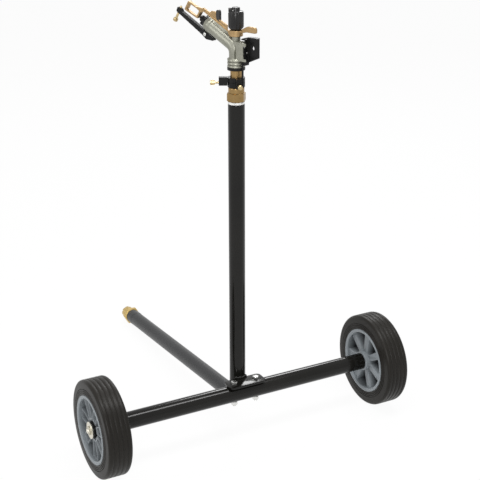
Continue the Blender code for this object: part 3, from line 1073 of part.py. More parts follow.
diffuser_screw = turned([(0, knurl_low), (DIFFUSER_SCREW_HEAD - 0.8 * MM, knurl_low),
                         (DIFFUSER_SCREW_HEAD, knurl_low + 1 * MM), (DIFFUSER_SCREW_HEAD, knurl_low + 6 * MM),
                         (DIFFUSER_SCREW_HEAD - 0.8 * MM, knurl_low + 7 * MM),
                         (DIFFUSER_SCREW_RADIUS, knurl_low + 7.5 * MM),
                         (DIFFUSER_SCREW_RADIUS, screw_top - 1 * MM),
                         (DIFFUSER_SCREW_RADIUS - 1 * MM, screw_top), (0, screw_top)], 12)
piece("diffuser_screw", diffuser_screw, BRASS, screw_axis)
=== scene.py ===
# Frame: the imported sprinkler.
import math

import bmesh
import bpy
from mathutils import Matrix, Vector


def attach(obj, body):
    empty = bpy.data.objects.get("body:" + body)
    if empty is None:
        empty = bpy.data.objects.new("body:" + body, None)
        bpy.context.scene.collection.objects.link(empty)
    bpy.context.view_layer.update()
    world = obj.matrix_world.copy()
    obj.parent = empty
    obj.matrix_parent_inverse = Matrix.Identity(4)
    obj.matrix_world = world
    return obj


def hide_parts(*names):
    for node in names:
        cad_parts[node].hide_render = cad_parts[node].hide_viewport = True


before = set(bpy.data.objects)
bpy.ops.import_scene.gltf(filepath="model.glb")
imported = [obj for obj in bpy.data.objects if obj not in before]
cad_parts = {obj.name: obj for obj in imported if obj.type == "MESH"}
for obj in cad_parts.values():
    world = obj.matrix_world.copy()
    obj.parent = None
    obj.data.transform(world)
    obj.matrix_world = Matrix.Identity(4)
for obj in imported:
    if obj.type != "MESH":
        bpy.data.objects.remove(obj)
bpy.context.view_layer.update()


# Tyres: solid black rubber, pressed onto the hubs. Five plain ribs run round the tread, the shoulders are
# round, and three fine grooves run round each side next to the rim. All lengths here are millimetres.
MM = 0.001
AXLE_Y = -294.357
AXLE_Z = 108.0
HALF_TRACK = 344.0
TREAD_RADIUS = 108.0
HALF_TYRE = 27.0
SIDE_OUT = 28.4
SHOULDER = 6.7
SIDE_GROOVES = (80.8, 84.8, 88.8)
TREAD_GROOVES = (15.4, 5.13, -5.13, -15.4)
GROOVE_HALF = [(2.1, 0), (1.45, 0.25), (0.95, 0.75), (0.5, 1.15)]


def scaled(points):
    """Millimetres to metres."""
    return [tuple(value * MM for value in point) for point in points]


def shift(x=0.0, y=0.0, z=0.0):
    return Matrix.Translation(scaled([(x, y, z)])[0])


def held(profile, closed=True, margin=1.5):
    """Adds points near the ends of long straight runs, so that a rounded edge is shaded at the edge alone."""
    points = []
    for k, first in enumerate(profile):
        second = profile[(k + 1) % len(profile)]
        points.append(first)
        length = math.dist(first, second)
        if length > 5 * margin and (closed or k < len(profile) - 1):
            for share in (margin / length, 1 - margin / length):
                points.append(tuple(a + share * (b - a) for a, b in zip(first, second)))
    return points


def around(spots, turn=0.0):
    """A ring of points round Z, one for each (radius, height)."""
    angles = [2 * math.pi * k / len(spots) + turn for k in range(len(spots))]
    return [(spot[0] * math.cos(a), spot[0] * math.sin(a), spot[1]) for spot, a in zip(spots, angles)]


def skin(bm, rows, steps, closed):
    """Faces between neighbouring rows of corners. A row may be a single corner on the axis."""
    pairs = list(zip(rows, rows[1:])) + ([(rows[-1], rows[0])] if closed else [])
    for first, second in pairs:
        for k in range(steps):
            n = (k + 1) % steps
            corners = dict.fromkeys([first[k % len(first)], first[n % len(first)], second[n % len(second)],
                                     second[k % len(second)]])
            if len(corners) > 2:
                bm.faces.new(list(corners))


def lathe(profile, steps=96, hold=True):
    """Spins an outline of (radius, height) about Z. It is closed, or starts and ends on the axis.

    Solids that are joined to others or cut from them go without the points that hold the edges.
    """
    closed = profile[0][0] > 1e-7 or profile[-1][0] > 1e-7
    bm = bmesh.new()
    rows = []
    for radius, height in scaled(held(profile, closed) if hold else profile):
        spots = [(radius, height)] * (steps if radius > 1e-7 else 1)
        rows.append([bm.verts.new(point) for point in around(spots)])
    skin(bm, rows, steps, closed)
    bmesh.ops.recalc_face_normals(bm, faces=bm.faces)
    return bm


def mesh_from(name, bm):
    mesh = bpy.data.meshes.new(name)
    bm.to_mesh(mesh)
    bm.free()
    return mesh


def set_out(name, data):
    obj = bpy.data.objects.new(name, data)
    bpy.context.scene.collection.objects.link(obj)
    return obj


def wire(tree, made, inputs):
    """Sets a node's inputs, by name or number, each to a value or from another node's output."""
    for key, value in inputs.items():
        if isinstance(value, bpy.types.NodeSocket):
            tree.links.new(value, made.inputs[key])
        else:
            made.inputs[key].default_value = value


def node(tree, kind, inputs=(), **settings):
    made = tree.nodes.new(kind)
    for key, value in settings.items():
        setattr(made, key, value)
    wire(tree, made, dict(inputs))
    return made


# Mottle: a soft drift and a fine grain over the surface, as in any moulded, cast or coated finish
mottle = bpy.data.node_groups.new("Mottle", "ShaderNodeTree")
for label, default in (("Drift scale", 20.0), ("Grain scale", 900.0), ("Grain share", 0.4)):
    socket = mottle.interface.new_socket(label, in_out="INPUT", socket_type="NodeSocketFloat")
    socket.default_value = default
for label in ("Mask", "Grain"):
    mottle.interface.new_socket(label, in_out="OUTPUT", socket_type="NodeSocketFloat")
mottle_in = mottle.nodes.new("NodeGroupInput").outputs
mottle_place = node(mottle, "ShaderNodeTexCoord").outputs["Object"]
soft_drift = node(mottle, "ShaderNodeTexNoise",
                  {"Vector": mottle_place, "Scale": mottle_in["Drift scale"], "Detail": 4.0}).outputs["Fac"]
fine_grain = node(mottle, "ShaderNodeTexNoise",
                  {"Vector": mottle_place, "Scale": mottle_in["Grain scale"], "Detail": 2.0}).outputs["Fac"]
mixed = node(mottle, "ShaderNodeMix", {0: mottle_in["Grain share"], 2: soft_drift, 3: fine_grain}).outputs[0]
mottle_mask = node(mottle, "ShaderNodeMapRange", {0: mixed, 1: 0.3, 2: 0.7}).outputs[0]
node(mottle, "NodeGroupOutput", {"Mask": mottle_mask, "Grain": fine_grain})


def finish(name, dark, light, rough, metallic=0.0, drift=20.0, grain=900.0, share=0.4, bump=0.1,
           depth=0.05, specular=0.5):
    """A material whose colour and roughness drift between two values over a fine relief."""
    mat = bpy.data.materials.new(name)
    mat.use_nodes = True
    tree = mat.node_tree
    amounts = {"Drift scale": drift, "Grain scale": grain, "Grain share": share}
    surface = node(tree, "ShaderNodeGroup", amounts, node_tree=mottle).outputs
    shades = {0: surface["Mask"], 6: (*dark, 1), 7: (*light, 1)}
    colour = node(tree, "ShaderNodeMix", shades, data_type="RGBA")
    roughness = node(tree, "ShaderNodeMapRange", {0: surface["Mask"], 3: rough[0], 4: rough[1]})
    relief = node(tree, "ShaderNodeBump",
                  {"Height": surface["Grain"], "Strength": bump, "Distance": depth * MM})
    wire(tree, tree.nodes["Principled BSDF"],
         {"Base Color": colour.outputs[2], "Roughness": roughness.outputs[0],
          "Normal": relief.outputs["Normal"], "Metallic": metallic, "Specular IOR Level": specular})
    return mat


def piece(name, bm, place, material, body, *nodes, sharp=40):
    """A finished piece in its place, with the body it moves with and the plain nodes it stands for."""
    bm.transform(place)
    mesh = mesh_from(name, bm)
    mesh.shade_smooth()
    mesh.set_sharp_from_angle(angle=math.radians(sharp))
    mesh.materials.append(material)
    obj = set_out(name, mesh)
    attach(obj, body)
    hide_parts(*nodes)


def axle_place(outward, along=0.0):
    """For pieces made about Z with their outboard end up, on the axle's left (-1) or right (1) half."""
    return shift(0, AXLE_Y, AXLE_Z) @ Matrix.Rotation(outward * math.pi / 2, 4, "Y") @ shift(z=along)


def tyre_outline():
    side = [(71.7, 22.7), (75.9, 22.7), (75.9, 27.4), (76.8, 28.2), (78.8, SIDE_OUT)]
    for fine in SIDE_GROOVES:
        face = SIDE_OUT - (fine - 79) * 0.08
        side += [(fine - 0.9, face), (fine - 0.45, face - 1.4), (fine + 0.45, face - 1.4), (fine + 0.9, face)]
    side.append((96, HALF_TYRE + 0.1))
    for step in range(9):
        angle = math.pi / 2 * step / 8
        radius = TREAD_RADIUS - SHOULDER * (1 - math.sin(angle))
        side.append((radius, HALF_TYRE - SHOULDER * (1 - math.cos(angle))))
    tread = []
    for groove in TREAD_GROOVES:
        tread += [(TREAD_RADIUS - depth, groove + across) for across, depth in GROOVE_HALF]
        tread += [(TREAD_RADIUS - depth, groove - across) for across, depth in reversed(GROOVE_HALF)]
    return side + tread + [(radius, -axial) for radius, axial in reversed(side)]


tyre_rubber = finish("Tyre rubber", (0.0095, 0.0085, 0.0070), (0.0165, 0.0147, 0.0122),
                     (0.33, 0.46), drift=14, grain=1400, bump=0.16, depth=0.06, specular=0.16)
for side, outward in (("left", -1), ("right", 1)):
    piece(side + "_ribbed_tyre", lathe(tyre_outline(), 144), axle_place(outward, HALF_TRACK), tyre_rubber,
          side + "_wheel", side + "_tyre", sharp=50)


# Hubs: moulded grey-blue plastic. Seven hollow spokes, open outboard, widen from the boss to a rim whose two
# lips hold the tyre. A pale plain bush lines the bore and runs on the axle's end, behind a black flange.
SPOKES = 7
SPOKE_TURN = {"left": -19.5, "right": -20.0}
RIM_INSIDE = 67.8
BOSS_LOW = -33
BOSS_HIGH = 18
BOSS_RADIUS = 22.6


def round_corners(points, size, steps=3, closed=True):
    """Rounds an outline's corners, each by a short curve that its edges have room for."""
    rounded = []
    count = len(points)
    for k, point in enumerate(points):
        corner = Vector(point)
        if not closed and k in (0, count - 1):
            rounded.append(tuple(corner))
            continue
        before = Vector(points[k - 1]) - corner
        after = Vector(points[(k + 1) % count]) - corner
        start = corner + before.normalized() * min(size, 0.45 * before.length)
        end = corner + after.normalized() * min(size, 0.45 * after.length)
        for step in range(steps + 1):
            t = step / steps
            rounded.append(tuple(start * (1 - t) ** 2 + corner * 2 * t * (1 - t) + end * t ** 2))
    return rounded


def rounded_box(x_from, y_from, x_to, y_to, size, steps=3):
    return round_corners([(x_from, y_from), (x_to, y_from), (x_to, y_to), (x_from, y_to)], size, steps)


def inset(points, distance):
    """Moves an anticlockwise outline inwards by a distance. A negative distance moves it outwards."""
    moved = []
    count = len(points)
    for k, point in enumerate(points):
        here = Vector(point)
        first = (here - Vector(points[k - 1])).normalized()
        second = (Vector(points[(k + 1) % count]) - here).normalized()
        normal = Vector((-first.y - second.y, first.x + second.x))
        moved.append(tuple(here + normal * (distance / max(normal.length_squared / 2, 0.5))))
    return moved


def loft(rings, capped=True):
    """Joins rings of equal count, and closes the ends or joins the last to the first."""
    bm = bmesh.new()
    rows = [[bm.verts.new(point) for point in scaled(ring)] for ring in rings]
    skin(bm, rows, len(rows[0]), not capped)
    if capped:
        bm.faces.new(rows[0])
        bm.faces.new(rows[-1])
    bmesh.ops.recalc_face_normals(bm, faces=bm.faces)
    return bm


def level(outline, height):
    return [(x, y, height) for x, y in outline]


def tiers(*tiered):
    """Rings for a loft: each outline is given with pairs of how far it is drawn in and its height."""
    return [level(inset(outline, drawn), height) for outline, steps in tiered for drawn, height in steps]


def slab(outline, low, high, edge=0.5):
    """A plate with rounded rims from an anticlockwise outline."""
    rim = ((1, 0), (0.3, 0.3), (0, 1))
    under = [(edge * a, low + edge * b) for a, b in rim]
    over = [(edge * a, high - edge * b) for a, b in reversed(rim)]
    return loft(tiers((outline, under + over)))


def spoke_tray():
    """One spoke along +X: a bar with a shallow channel in its outboard face."""
    def bar(near, far, narrow, wide, corner):
        return round_corners([(near, -narrow), (far, -wide), (far, wide), (near, narrow)], corner, 4)
    return loft(tiers((bar(20.5, 70.2, 6.9, 9.6, 0.8), ((1.0, -23), (0.3, -22.7), (0, -22))),
                      (bar(20.5, 70.2, 8.8, 14, 0.8), ((0, 20.3), (0.2, 20.8), (0.7, 21))),
                      (bar(26, 65, 6.3, 11.2, 1.6), ((-0.7, 21), (-0.2, 20.8), (0, 20.3))),
                      (bar(26.6, 64.4, 4.4, 7.4, 1.6), ((0, 3.4), (0.7, 2.4), (1.4, 2.1)))))


def begin_growth(name, *inputs):
    """A geometry tree that takes a mesh, the inputs named and a finish. Returns it with its sockets."""
    tree = bpy.data.node_groups.new(name, "GeometryNodeTree")
    sockets = {}
    for label, kind in (("Geometry", "Geometry"), *inputs, ("Finish", "Material")):
        sockets[label] = tree.interface.new_socket(label, in_out="INPUT", socket_type="NodeSocket" + kind)
    tree.interface.new_socket("Geometry", in_out="OUTPUT", socket_type="NodeSocketGeometry")
    return tree, sockets, tree.nodes.new("NodeGroupInput").outputs


def end_growth(tree, given, shape):
    """Ends a geometry tree in real faces that carry the finish."""
    real = node(tree, "GeometryNodeRealizeInstances", {0: shape.outputs[0]})
    finished = node(tree, "GeometryNodeSetMaterial", {0: real.outputs[0], "Material": given["Finish"]})
    node(tree, "NodeGroupOutput", {0: finished.outputs[0]})


# Ring of copies: repeats a shape evenly round Z
ring_tree, ring_sockets, ring_in = begin_growth("Ring of copies", ("Copies", "Int"), ("First angle", "Float"))
ring_step = node(ring_tree, "ShaderNodeMath", {0: 2 * math.pi, 1: ring_in["Copies"]}, operation="DIVIDE")
ring_index = node(ring_tree, "GeometryNodeInputIndex")
ring_angle = node(ring_tree, "ShaderNodeMath", {
    0: ring_index.outputs[0], 1: ring_step.outputs[0], 2: ring_in["First angle"]}, operation="MULTIPLY_ADD")
ring_turn = node(ring_tree, "ShaderNodeCombineXYZ", {2: ring_angle.outputs[0]})
ring_spots = node(ring_tree, "GeometryNodeMeshLine", {"Count": ring_in["Copies"], "Offset": (0, 0, 0)})
end_growth(ring_tree, ring_in, node(ring_tree, "GeometryNodeInstanceOnPoints", {
    "Points": ring_spots.outputs[0], "Instance": ring_in["Geometry"], "Rotation": ring_turn.outputs[0]}))


def settled(obj, *helpers):
    """What an object's modifiers make of it, as a mesh to work on. The object and its helpers go."""
    mesh = bpy.data.meshes.new_from_object(obj.evaluated_get(bpy.context.evaluated_depsgraph_get()))
    obj.modifiers.clear()
    for used in (obj, *helpers):
        bpy.data.objects.remove(used)
    bm = bmesh.new()
    bm.from_mesh(mesh)
    bpy.data.meshes.remove(mesh)
    for face in bm.faces:
        face.material_index = 0
    return bm


def grown(bm, tree, sockets, values):
    """Runs a mesh through a geometry tree."""
    seed = set_out("seed", mesh_from("seed", bm))
    modifier = seed.modifiers.new("grow", "NODES")
    modifier.node_group = tree
    for label, value in values.items():
        modifier[sockets[label].identifier] = value
    return settled(seed)


def copies_round(bm, count, material, first=0.0):
    values = {"Copies": count, "First angle": first, "Finish": material}
    return grown(bm, ring_tree, ring_sockets, values)


def joined(*parts):
    """Puts several shells in one mesh."""
    whole = bmesh.new()
    for part in parts:
        mesh = mesh_from("part", part)
        whole.from_mesh(mesh)
        bpy.data.meshes.remove(mesh)
    return whole


def deep_shade(mat, middle, deep, open_air, least):
    """Darkens a finish towards the wheels' middle planes, where little light reaches."""
    tree = mat.node_tree
    spot = node(tree, "ShaderNodeSeparateXYZ", {0: node(tree, "ShaderNodeTexCoord").outputs["Object"]})
    side = node(tree, "ShaderNodeMath", {0: spot.outputs[0]}, operation="ABSOLUTE")
    off = node(tree, "ShaderNodeMath", {0: side.outputs[0], 1: middle * MM}, operation="SUBTRACT")
    depth = node(tree, "ShaderNodeMath", {0: off.outputs[0]}, operation="ABSOLUTE")
    shade = node(tree, "ShaderNodeMapRange", {
        0: depth.outputs[0], 1: deep * MM, 2: open_air * MM, 3: least, 4: 1.0})
    shader = tree.nodes["Principled BSDF"]
    plain = shader.inputs["Base Color"].links[0].from_socket
    dimmed = node(tree, "ShaderNodeVectorMath", {0: plain, 3: shade.outputs[0]}, operation="SCALE")
    wire(tree, shader, {"Base Color": dimmed.outputs[0]})


hub_plastic = finish("Hub plastic", (0.195, 0.217, 0.232), (0.245, 0.268, 0.285), (0.36, 0.5),
                     drift=26, grain=1100, bump=0.15, specular=0.3)
deep_shade(hub_plastic, HALF_TRACK, 5, 24, 0.1)
bearing_black = finish("Bearing plastic", (0.006, 0.006, 0.006), (0.011, 0.0108, 0.0105),
                       (0.14, 0.24), drift=90, grain=1300, depth=0.04, specular=0.35)
pale_plastic = finish("Pale plastic", (0.60, 0.58, 0.52), (0.70, 0.68, 0.62), (0.35, 0.5),
                      drift=60)
rim_half = [(70, 28.9), (71, 29), (74.9, 29), (75.4, 28.8), (75.6, 28.2), (75.6, 23.3), (75.2, 23),
            (71.4, 23)]
rim_outline = rim_half + [(radius, -axial) for radius, axial in reversed(rim_half)]
rim_outline += [(68, -27.2), (67.2, -22), (RIM_INSIDE, -20), (RIM_INSIDE, 20), (67.2, 22), (68, 27.2)]
boss_outline = rounded_box(9.4, BOSS_LOW, BOSS_RADIUS, BOSS_HIGH, 0.9)
bush_outline = rounded_box(6.7, BOSS_LOW, 9.1, BOSS_HIGH, 0.4)
bearing_outline = rounded_box(6.8, BOSS_HIGH + 0.3, 18.2, BOSS_HIGH + 7.7, 0.8)
for side, outward in (("left", -1), ("right", 1)):
    place = axle_place(outward, HALF_TRACK)
    wheel = side + "_wheel"
    spokes = copies_round(spoke_tray(), SPOKES, hub_plastic, math.radians(SPOKE_TURN[side]))
    hub = joined(lathe(rim_outline, 128), spokes, lathe(boss_outline, 64))
    piece(side + "_spoked_hub", hub, place, hub_plastic, wheel, side + "_hub")
    piece(side + "_axle_bush", lathe(bush_outline, 48), place, pale_plastic, wheel, side + "_bush")
    piece(side + "_bearing_flange", lathe(bearing_outline, 64), place, bearing_black, wheel, side + "_bush")


# Axle: a black powder-coated tube with a turned zinc-plated stub pressed into each end. The stub carries the
# wheel, a plain washer and a nut on its thread.
TUBE_RADIUS = 19.05
TUBE_END = 310.6
WASHER_FROM = 370.0
NUT_FROM = 372.3
NUT_TO = 376.6
STUB_TIP = 378.6

coil_tree, coil_sockets, coil_in = begin_growth(
    "Coil", ("Radius", "Float"), ("Height", "Float"), ("Turns", "Float"), ("Wire radius", "Float"),
    ("Steps each turn", "Int"), ("Wire sides", "Int"))
coil_path = node(coil_tree, "GeometryNodeCurveSpiral", {
    "Resolution": coil_in["Steps each turn"], "Rotations": coil_in["Turns"],
    "Start Radius": coil_in["Radius"], "End Radius": coil_in["Radius"], "Height": coil_in["Height"]})
coil_wire = node(coil_tree, "GeometryNodeCurvePrimitiveCircle", {
    "Resolution": coil_in["Wire sides"], "Radius": coil_in["Wire radius"]})
end_growth(coil_tree, coil_in, node(coil_tree, "GeometryNodeCurveToMesh", {
    "Curve": coil_path.outputs[0], "Profile Curve": coil_wire.outputs[0], "Fill Caps": True}))


def coil(radius, low, high, turns, wire_radius, material, steps=24, sides=8):
    """A helix of wire about Z, or a thread's crests where the wire lies half in its rod."""
    values = {"Radius": radius * MM, "Height": (high - low) * MM, "Turns": float(turns),
              "Wire radius": wire_radius * MM, "Steps each turn": steps, "Wire sides": sides,
              "Finish": material}
    bm = grown(bmesh.new(), coil_tree, coil_sockets, values)
    bmesh.ops.translate(bm, verts=bm.verts, vec=(0, 0, low * MM))
    bmesh.ops.recalc_face_normals(bm, faces=bm.faces)
    return bm


def circles(count, *spots, turn=0.0):
    """Level rings of points round Z, one for each (radius, height)."""
    return [around([spot] * count, turn) for spot in spots]


def hexagon_nut(flats, low, high, bore=0.0, turn=0.0, chamfer=0.96, steps=72):
    """A hexagon whose corners are turned off by a cone at both ends, solid or with a bore."""
    sixth = math.pi / 3
    half = flats / 2
    inner = chamfer * half
    angles = [2 * math.pi * k / steps for k in range(steps)]
    flat_radius = [half / math.cos((a + sixth / 2) % sixth - sixth / 2) for a in angles]

    def crest(height, sign):
        return around([(radius, height + sign * 0.55 * (radius - inner)) for radius in flat_radius], turn)
    rings = circles(steps, (inner, low), turn=turn) + [crest(low, 1), crest(high, -1)]
    rings += circles(steps, (inner, high), turn=turn)
    if not bore:
        return loft(rings)
    mouth = min(0.6, 0.1 * bore + 0.2)
    rings += circles(steps, (bore + mouth, high), (bore, high - mouth), (bore, low + mouth),
                     (bore + mouth, low), turn=turn)
    return loft(rings, capped=False)


powder_black = finish("Black powder coat", (0.0045, 0.0043, 0.0036),
                      (0.0085, 0.008, 0.0068), (0.1, 0.16), drift=9, grain=420, share=0.25, bump=0.05,
                      depth=0.1, specular=0.24)
zinc_plate = finish("Zinc plating", (0.60, 0.57, 0.48), (0.74, 0.71, 0.62), (0.24, 0.4),
                    metallic=1.0, drift=120, grain=1500)
piece("axle_bar", lathe(rounded_box(TUBE_RADIUS - 2.5, -TUBE_END, TUBE_RADIUS, TUBE_END, 0.5), 96),
      axle_place(1), powder_black, "frame", "axle_tube")
stub_outline = [(0, TUBE_END - 30), (15.6, TUBE_END - 30), (16.25, TUBE_END - 29.3), (16.25, TUBE_END - 0.4),
                (15.9, TUBE_END), (6.35, TUBE_END), (6.35, WASHER_FROM + 1), (6.0, WASHER_FROM + 1.6),
                (6.0, STUB_TIP - 1), (5.2, STUB_TIP), (0, STUB_TIP)]
washer_outline = [(6.9, 0), (18, 0), (18.5, 0.5), (18.5, 2.2), (18.1, 2.6), (16.2, 2.6), (15.8, 2.1),
                  (12.4, 2.1), (12, 2.6), (6.9, 2.6), (6.65, 2.3), (6.65, 0.3)]
for side, outward in (("left", -1), ("right", 1)):
    place = axle_place(outward)
    thread = coil(5.98, 372.8, STUB_TIP - 1.4, 4, 0.42, zinc_plate, 32)
    piece(side + "_threaded_stub", joined(lathe(stub_outline, 48), thread), place, zinc_plate, "frame",
          side + "_stub_axle")
    piece(side + "_wheel_washer", lathe(washer_outline, 64), axle_place(outward, WASHER_FROM), zinc_plate,
          "frame", side + "_axle_washer")
    piece(side + "_wheel_nut", hexagon_nut(17, NUT_FROM, NUT_TO, 6.65, 0.2, 0.92), place, zinc_plate, "frame",
          side + "_axle_nut")


# Saddle: a rounded steel plate, powder-coated black, bolted down through the axle and welded to the riser
# with a hand-laid bead. The two bolts, their nuts and threads are zinc plated.
RISER_AWAY = 36.05
RISER_Y = AXLE_Y + RISER_AWAY
PLATE_LOW = 127.35
PLATE_HIGH = 132.35
PLATE_CORNER = 10
BOLT_X = 27.0
BOLT_FLATS = 13
BOLT_LOW = 77

bead_tree, bead_sockets, bead_in = begin_growth(
    "Weld bead", ("Spacing", "Float"), ("Drop radius", "Float"), ("Unevenness", "Float"))
bead_path = node(bead_tree, "GeometryNodeMeshToCurve", {0: bead_in["Geometry"]})
bead_spots = node(bead_tree, "GeometryNodeCurveToPoints", {
    "Curve": bead_path.outputs[0], "Length": bead_in["Spacing"]}, mode="LENGTH")
bead_drop = node(bead_tree, "GeometryNodeMeshIcoSphere", {
    "Radius": bead_in["Drop radius"], "Subdivisions": 3})
bead_least = node(bead_tree, "ShaderNodeMath", {0: 1.0, 1: bead_in["Unevenness"]}, operation="SUBTRACT")
bead_size = node(bead_tree, "FunctionNodeRandomValue", {2: bead_least.outputs[0], 3: 1.0, "Seed": 7},
                 data_type="FLOAT")
bead_shape = node(bead_tree, "ShaderNodeVectorMath", {0: (1.0, 1.0, 0.72), 3: bead_size.outputs[1]},
                  operation="SCALE")
end_growth(bead_tree, bead_in, node(bead_tree, "GeometryNodeInstanceOnPoints", {
    "Points": bead_spots.outputs[0], "Instance": bead_drop.outputs[0],
    "Rotation": bead_spots.outputs["Rotation"], "Scale": bead_shape.outputs[0]}))


def weld_bead(points, drop, material):
    bm = bmesh.new()
    verts = [bm.verts.new(point) for point in scaled(points)]
    for first, second in zip(verts, verts[1:]):
        bm.edges.new((first, second))
    values = {"Spacing": 1.7 * MM, "Drop radius": drop * MM, "Unevenness": 0.12, "Finish": material}
    return grown(bm, bead_tree, bead_sockets, values)


def arc(centre, radius, start, end, steps):
    angles = [math.radians(start + (end - start) * k / steps) for k in range(steps + 1)]
    return [(centre[0] + radius * math.cos(a), centre[1] + radius * math.sin(a)) for a in angles]


# The plate has rounded ends, a straight front and, in the back edge, a notch round the riser
plate_front = [(x, -18.6) for x in (-30, -20, -10, 0, 10, 20, 30)]
plate_right = arc((36, -8.6), PLATE_CORNER, -85, 0, 8) + arc((36, 10.5), PLATE_CORNER, 0, 90, 8)
plate_notch = arc((0, RISER_AWAY), 18.2, -58, -122, 14)
plate_left = arc((-34, 10.5), PLATE_CORNER, 90, 180, 8) + arc((-34, -8.6), PLATE_CORNER, 180, 265, 8)
plate = slab(plate_front + plate_right + plate_notch + plate_left, PLATE_LOW, PLATE_HIGH, 0.7)
bead_line = level(arc((0, RISER_AWAY), 19.4, -50, -130, 40), PLATE_HIGH + 1.3)
piece("welded_saddle", joined(plate, weld_bead(bead_line, 3.3, powder_black)), shift(y=AXLE_Y), powder_black,
      "frame", "saddle_plate")
bright_zinc = finish("Bright zinc plating", (0.62, 0.62, 0.60), (0.80, 0.80, 0.78),
                     (0.16, 0.3), metallic=1.0, drift=150, grain=1500, bump=0.08)
for side, x in (("left", -BOLT_X), ("right", BOLT_X)):
    head = hexagon_nut(BOLT_FLATS, PLATE_HIGH + 0.3, PLATE_HIGH + 5.8, 0, 0.4)
    shank = lathe([(0, BOLT_LOW), (3.2, BOLT_LOW), (3.85, BOLT_LOW + 0.8), (3.85, 133.5), (0, 133.5)], 40)
    thread = coil(3.8, BOLT_LOW + 0.9, BOLT_LOW + 11, 8, 0.3, bright_zinc, 24)
    piece(side + "_saddle_screw", joined(head, shank, thread), shift(x, AXLE_Y), bright_zinc, "frame",
          side + "_saddle_bolt")
    piece(side + "_saddle_locknut", hexagon_nut(BOLT_FLATS, 80.5, 88.65, 4.25, 0.2), shift(x, AXLE_Y),
          bright_zinc, "frame", side + "_saddle_nut")


# Riser, elbow and supply leg: 1 inch steel pipe, in one run from below the head down to the ground behind,
# ending in a plain socket. Riser and elbow have the axle's powder coat; the leg and its socket a duller one.
PIPE_RADIUS = 17.8
PIPE_BORE = 14.1
RISER_TOP = 764.3
ELBOW_HEIGHT = 74.5
ELBOW_BEND = 25.0
LEG_FALL = math.radians(4.7078)
LEG_END = 604
ELBOW_SWEEP = math.pi / 2 - LEG_FALL
ELBOW_RUN = ELBOW_BEND * math.tan(ELBOW_SWEEP / 2)
ELBOW_TOP = ELBOW_HEIGHT + ELBOW_RUN
SOCKET_FROM = 588.0
SOCKET_TO = 622.0
riser_place = shift(y=RISER_Y)
leg_place = shift(0, RISER_Y, ELBOW_HEIGHT) @ Matrix.Rotation(-math.pi / 2 - LEG_FALL, 4, "X")
powder_satin = finish("Satin powder coat", (0.021, 0.0215, 0.0225),
                      (0.033, 0.034, 0.0355), (0.28, 0.4), drift=11, grain=520, share=0.3, bump=0.08,
                      depth=0.1, specular=0.34)


def bent_pipe(steps=24, sides=80):
    """The elbow: a ring-shaped section carried round the bend from the riser's foot to the leg."""
    rings = []
    for radius, order in ((PIPE_RADIUS, range(steps + 1)), (PIPE_BORE, range(steps, -1, -1))):
        for step in order:
            lean = ELBOW_SWEEP * step / steps
            ring = []
            for k in range(sides):
                angle = 2 * math.pi * k / sides
                reach = ELBOW_BEND - radius * math.sin(angle)
                ring.append((radius * math.cos(angle), ELBOW_BEND - reach * math.cos(lean),
                             ELBOW_TOP - reach * math.sin(lean)))
            rings.append(ring)
    return loft(rings, capped=False)


riser_outline = [(PIPE_BORE, ELBOW_TOP + 0.1), (PIPE_RADIUS, ELBOW_TOP + 0.1), (PIPE_RADIUS, RISER_TOP - 0.7),
                 (PIPE_RADIUS - 0.5, RISER_TOP), (PIPE_BORE + 0.3, RISER_TOP), (PIPE_BORE, RISER_TOP - 0.3)]
piece("riser", lathe(riser_outline, 96), riser_place, powder_black, "frame", "riser_pipe")
piece("foot_elbow", bent_pipe(), riser_place, powder_black, "frame", "base_elbow")
leg_outline = [(PIPE_BORE, ELBOW_RUN + 0.1), (PIPE_RADIUS, ELBOW_RUN + 0.1), (PIPE_RADIUS, LEG_END),
               (PIPE_BORE, LEG_END)]
piece("drag_leg", lathe(leg_outline, 96), leg_place, powder_satin, "frame", "supply_leg")
socket_outline = [(17.0, SOCKET_FROM), (17.82, SOCKET_FROM), (18.1, SOCKET_FROM + 3), (18.3, SOCKET_FROM + 7),
                  (18.3, SOCKET_TO - 1.2), (18.0, SOCKET_TO - 0.4), (17.3, SOCKET_TO), (17.0, SOCKET_TO)]
piece("pipe_socket", lathe(socket_outline, 96), leg_place, powder_satin, "frame", "leg_socket")


# Hose end: a brass adaptor screwed into the socket, with a hexagon for the wrench, and a brass swivel nut
# with eight finger lobes that turns on its collar. A black rubber washer seals the hose.
HEX_FROM = 622.3
HEX_TO = 634.3
NUT_START = 634.6
NUT_END = 661.6
NUT_RADIUS = 15.8
LOBES = 8
hose_brass = finish("Yellow brass", (0.56, 0.39, 0.13), (0.72, 0.53, 0.21), (0.26, 0.42),
                    metallic=1.0, drift=90, grain=1300, bump=0.12)
washer_rubber = finish("Washer rubber", (0.018, 0.018, 0.018), (0.03, 0.03, 0.03),
                       (0.55, 0.7), drift=60)


def lobed_nut(count=144):
    """The swivel nut's outside runs in shallow lobes. Inside are a floor with a hole and a thread."""
    angles = [2 * math.pi * k / count for k in range(count)]
    valleys = [max(0.0, math.cos(LOBES * (a - math.pi / LOBES))) ** 2.2 for a in angles]

    def lobes(shrink, height):
        return around([(NUT_RADIUS - shrink - 1.3 * valley, height) for valley in valleys])
    rings = circles(count, (11.6, NUT_START), (14.0, NUT_START))
    rings += [lobes(0.35, NUT_START + 0.7), lobes(0, NUT_START + 1.5), lobes(0, NUT_END - 1.0),
              lobes(0.3, NUT_END - 0.3), lobes(0.8, NUT_END)]
    rings += circles(count, (13.7, NUT_END), (13.2, NUT_END - 0.6), (13.2, NUT_START + 4),
                     (11.3, NUT_START + 4), (11.3, NUT_START + 0.3))
    return loft(rings, capped=False)


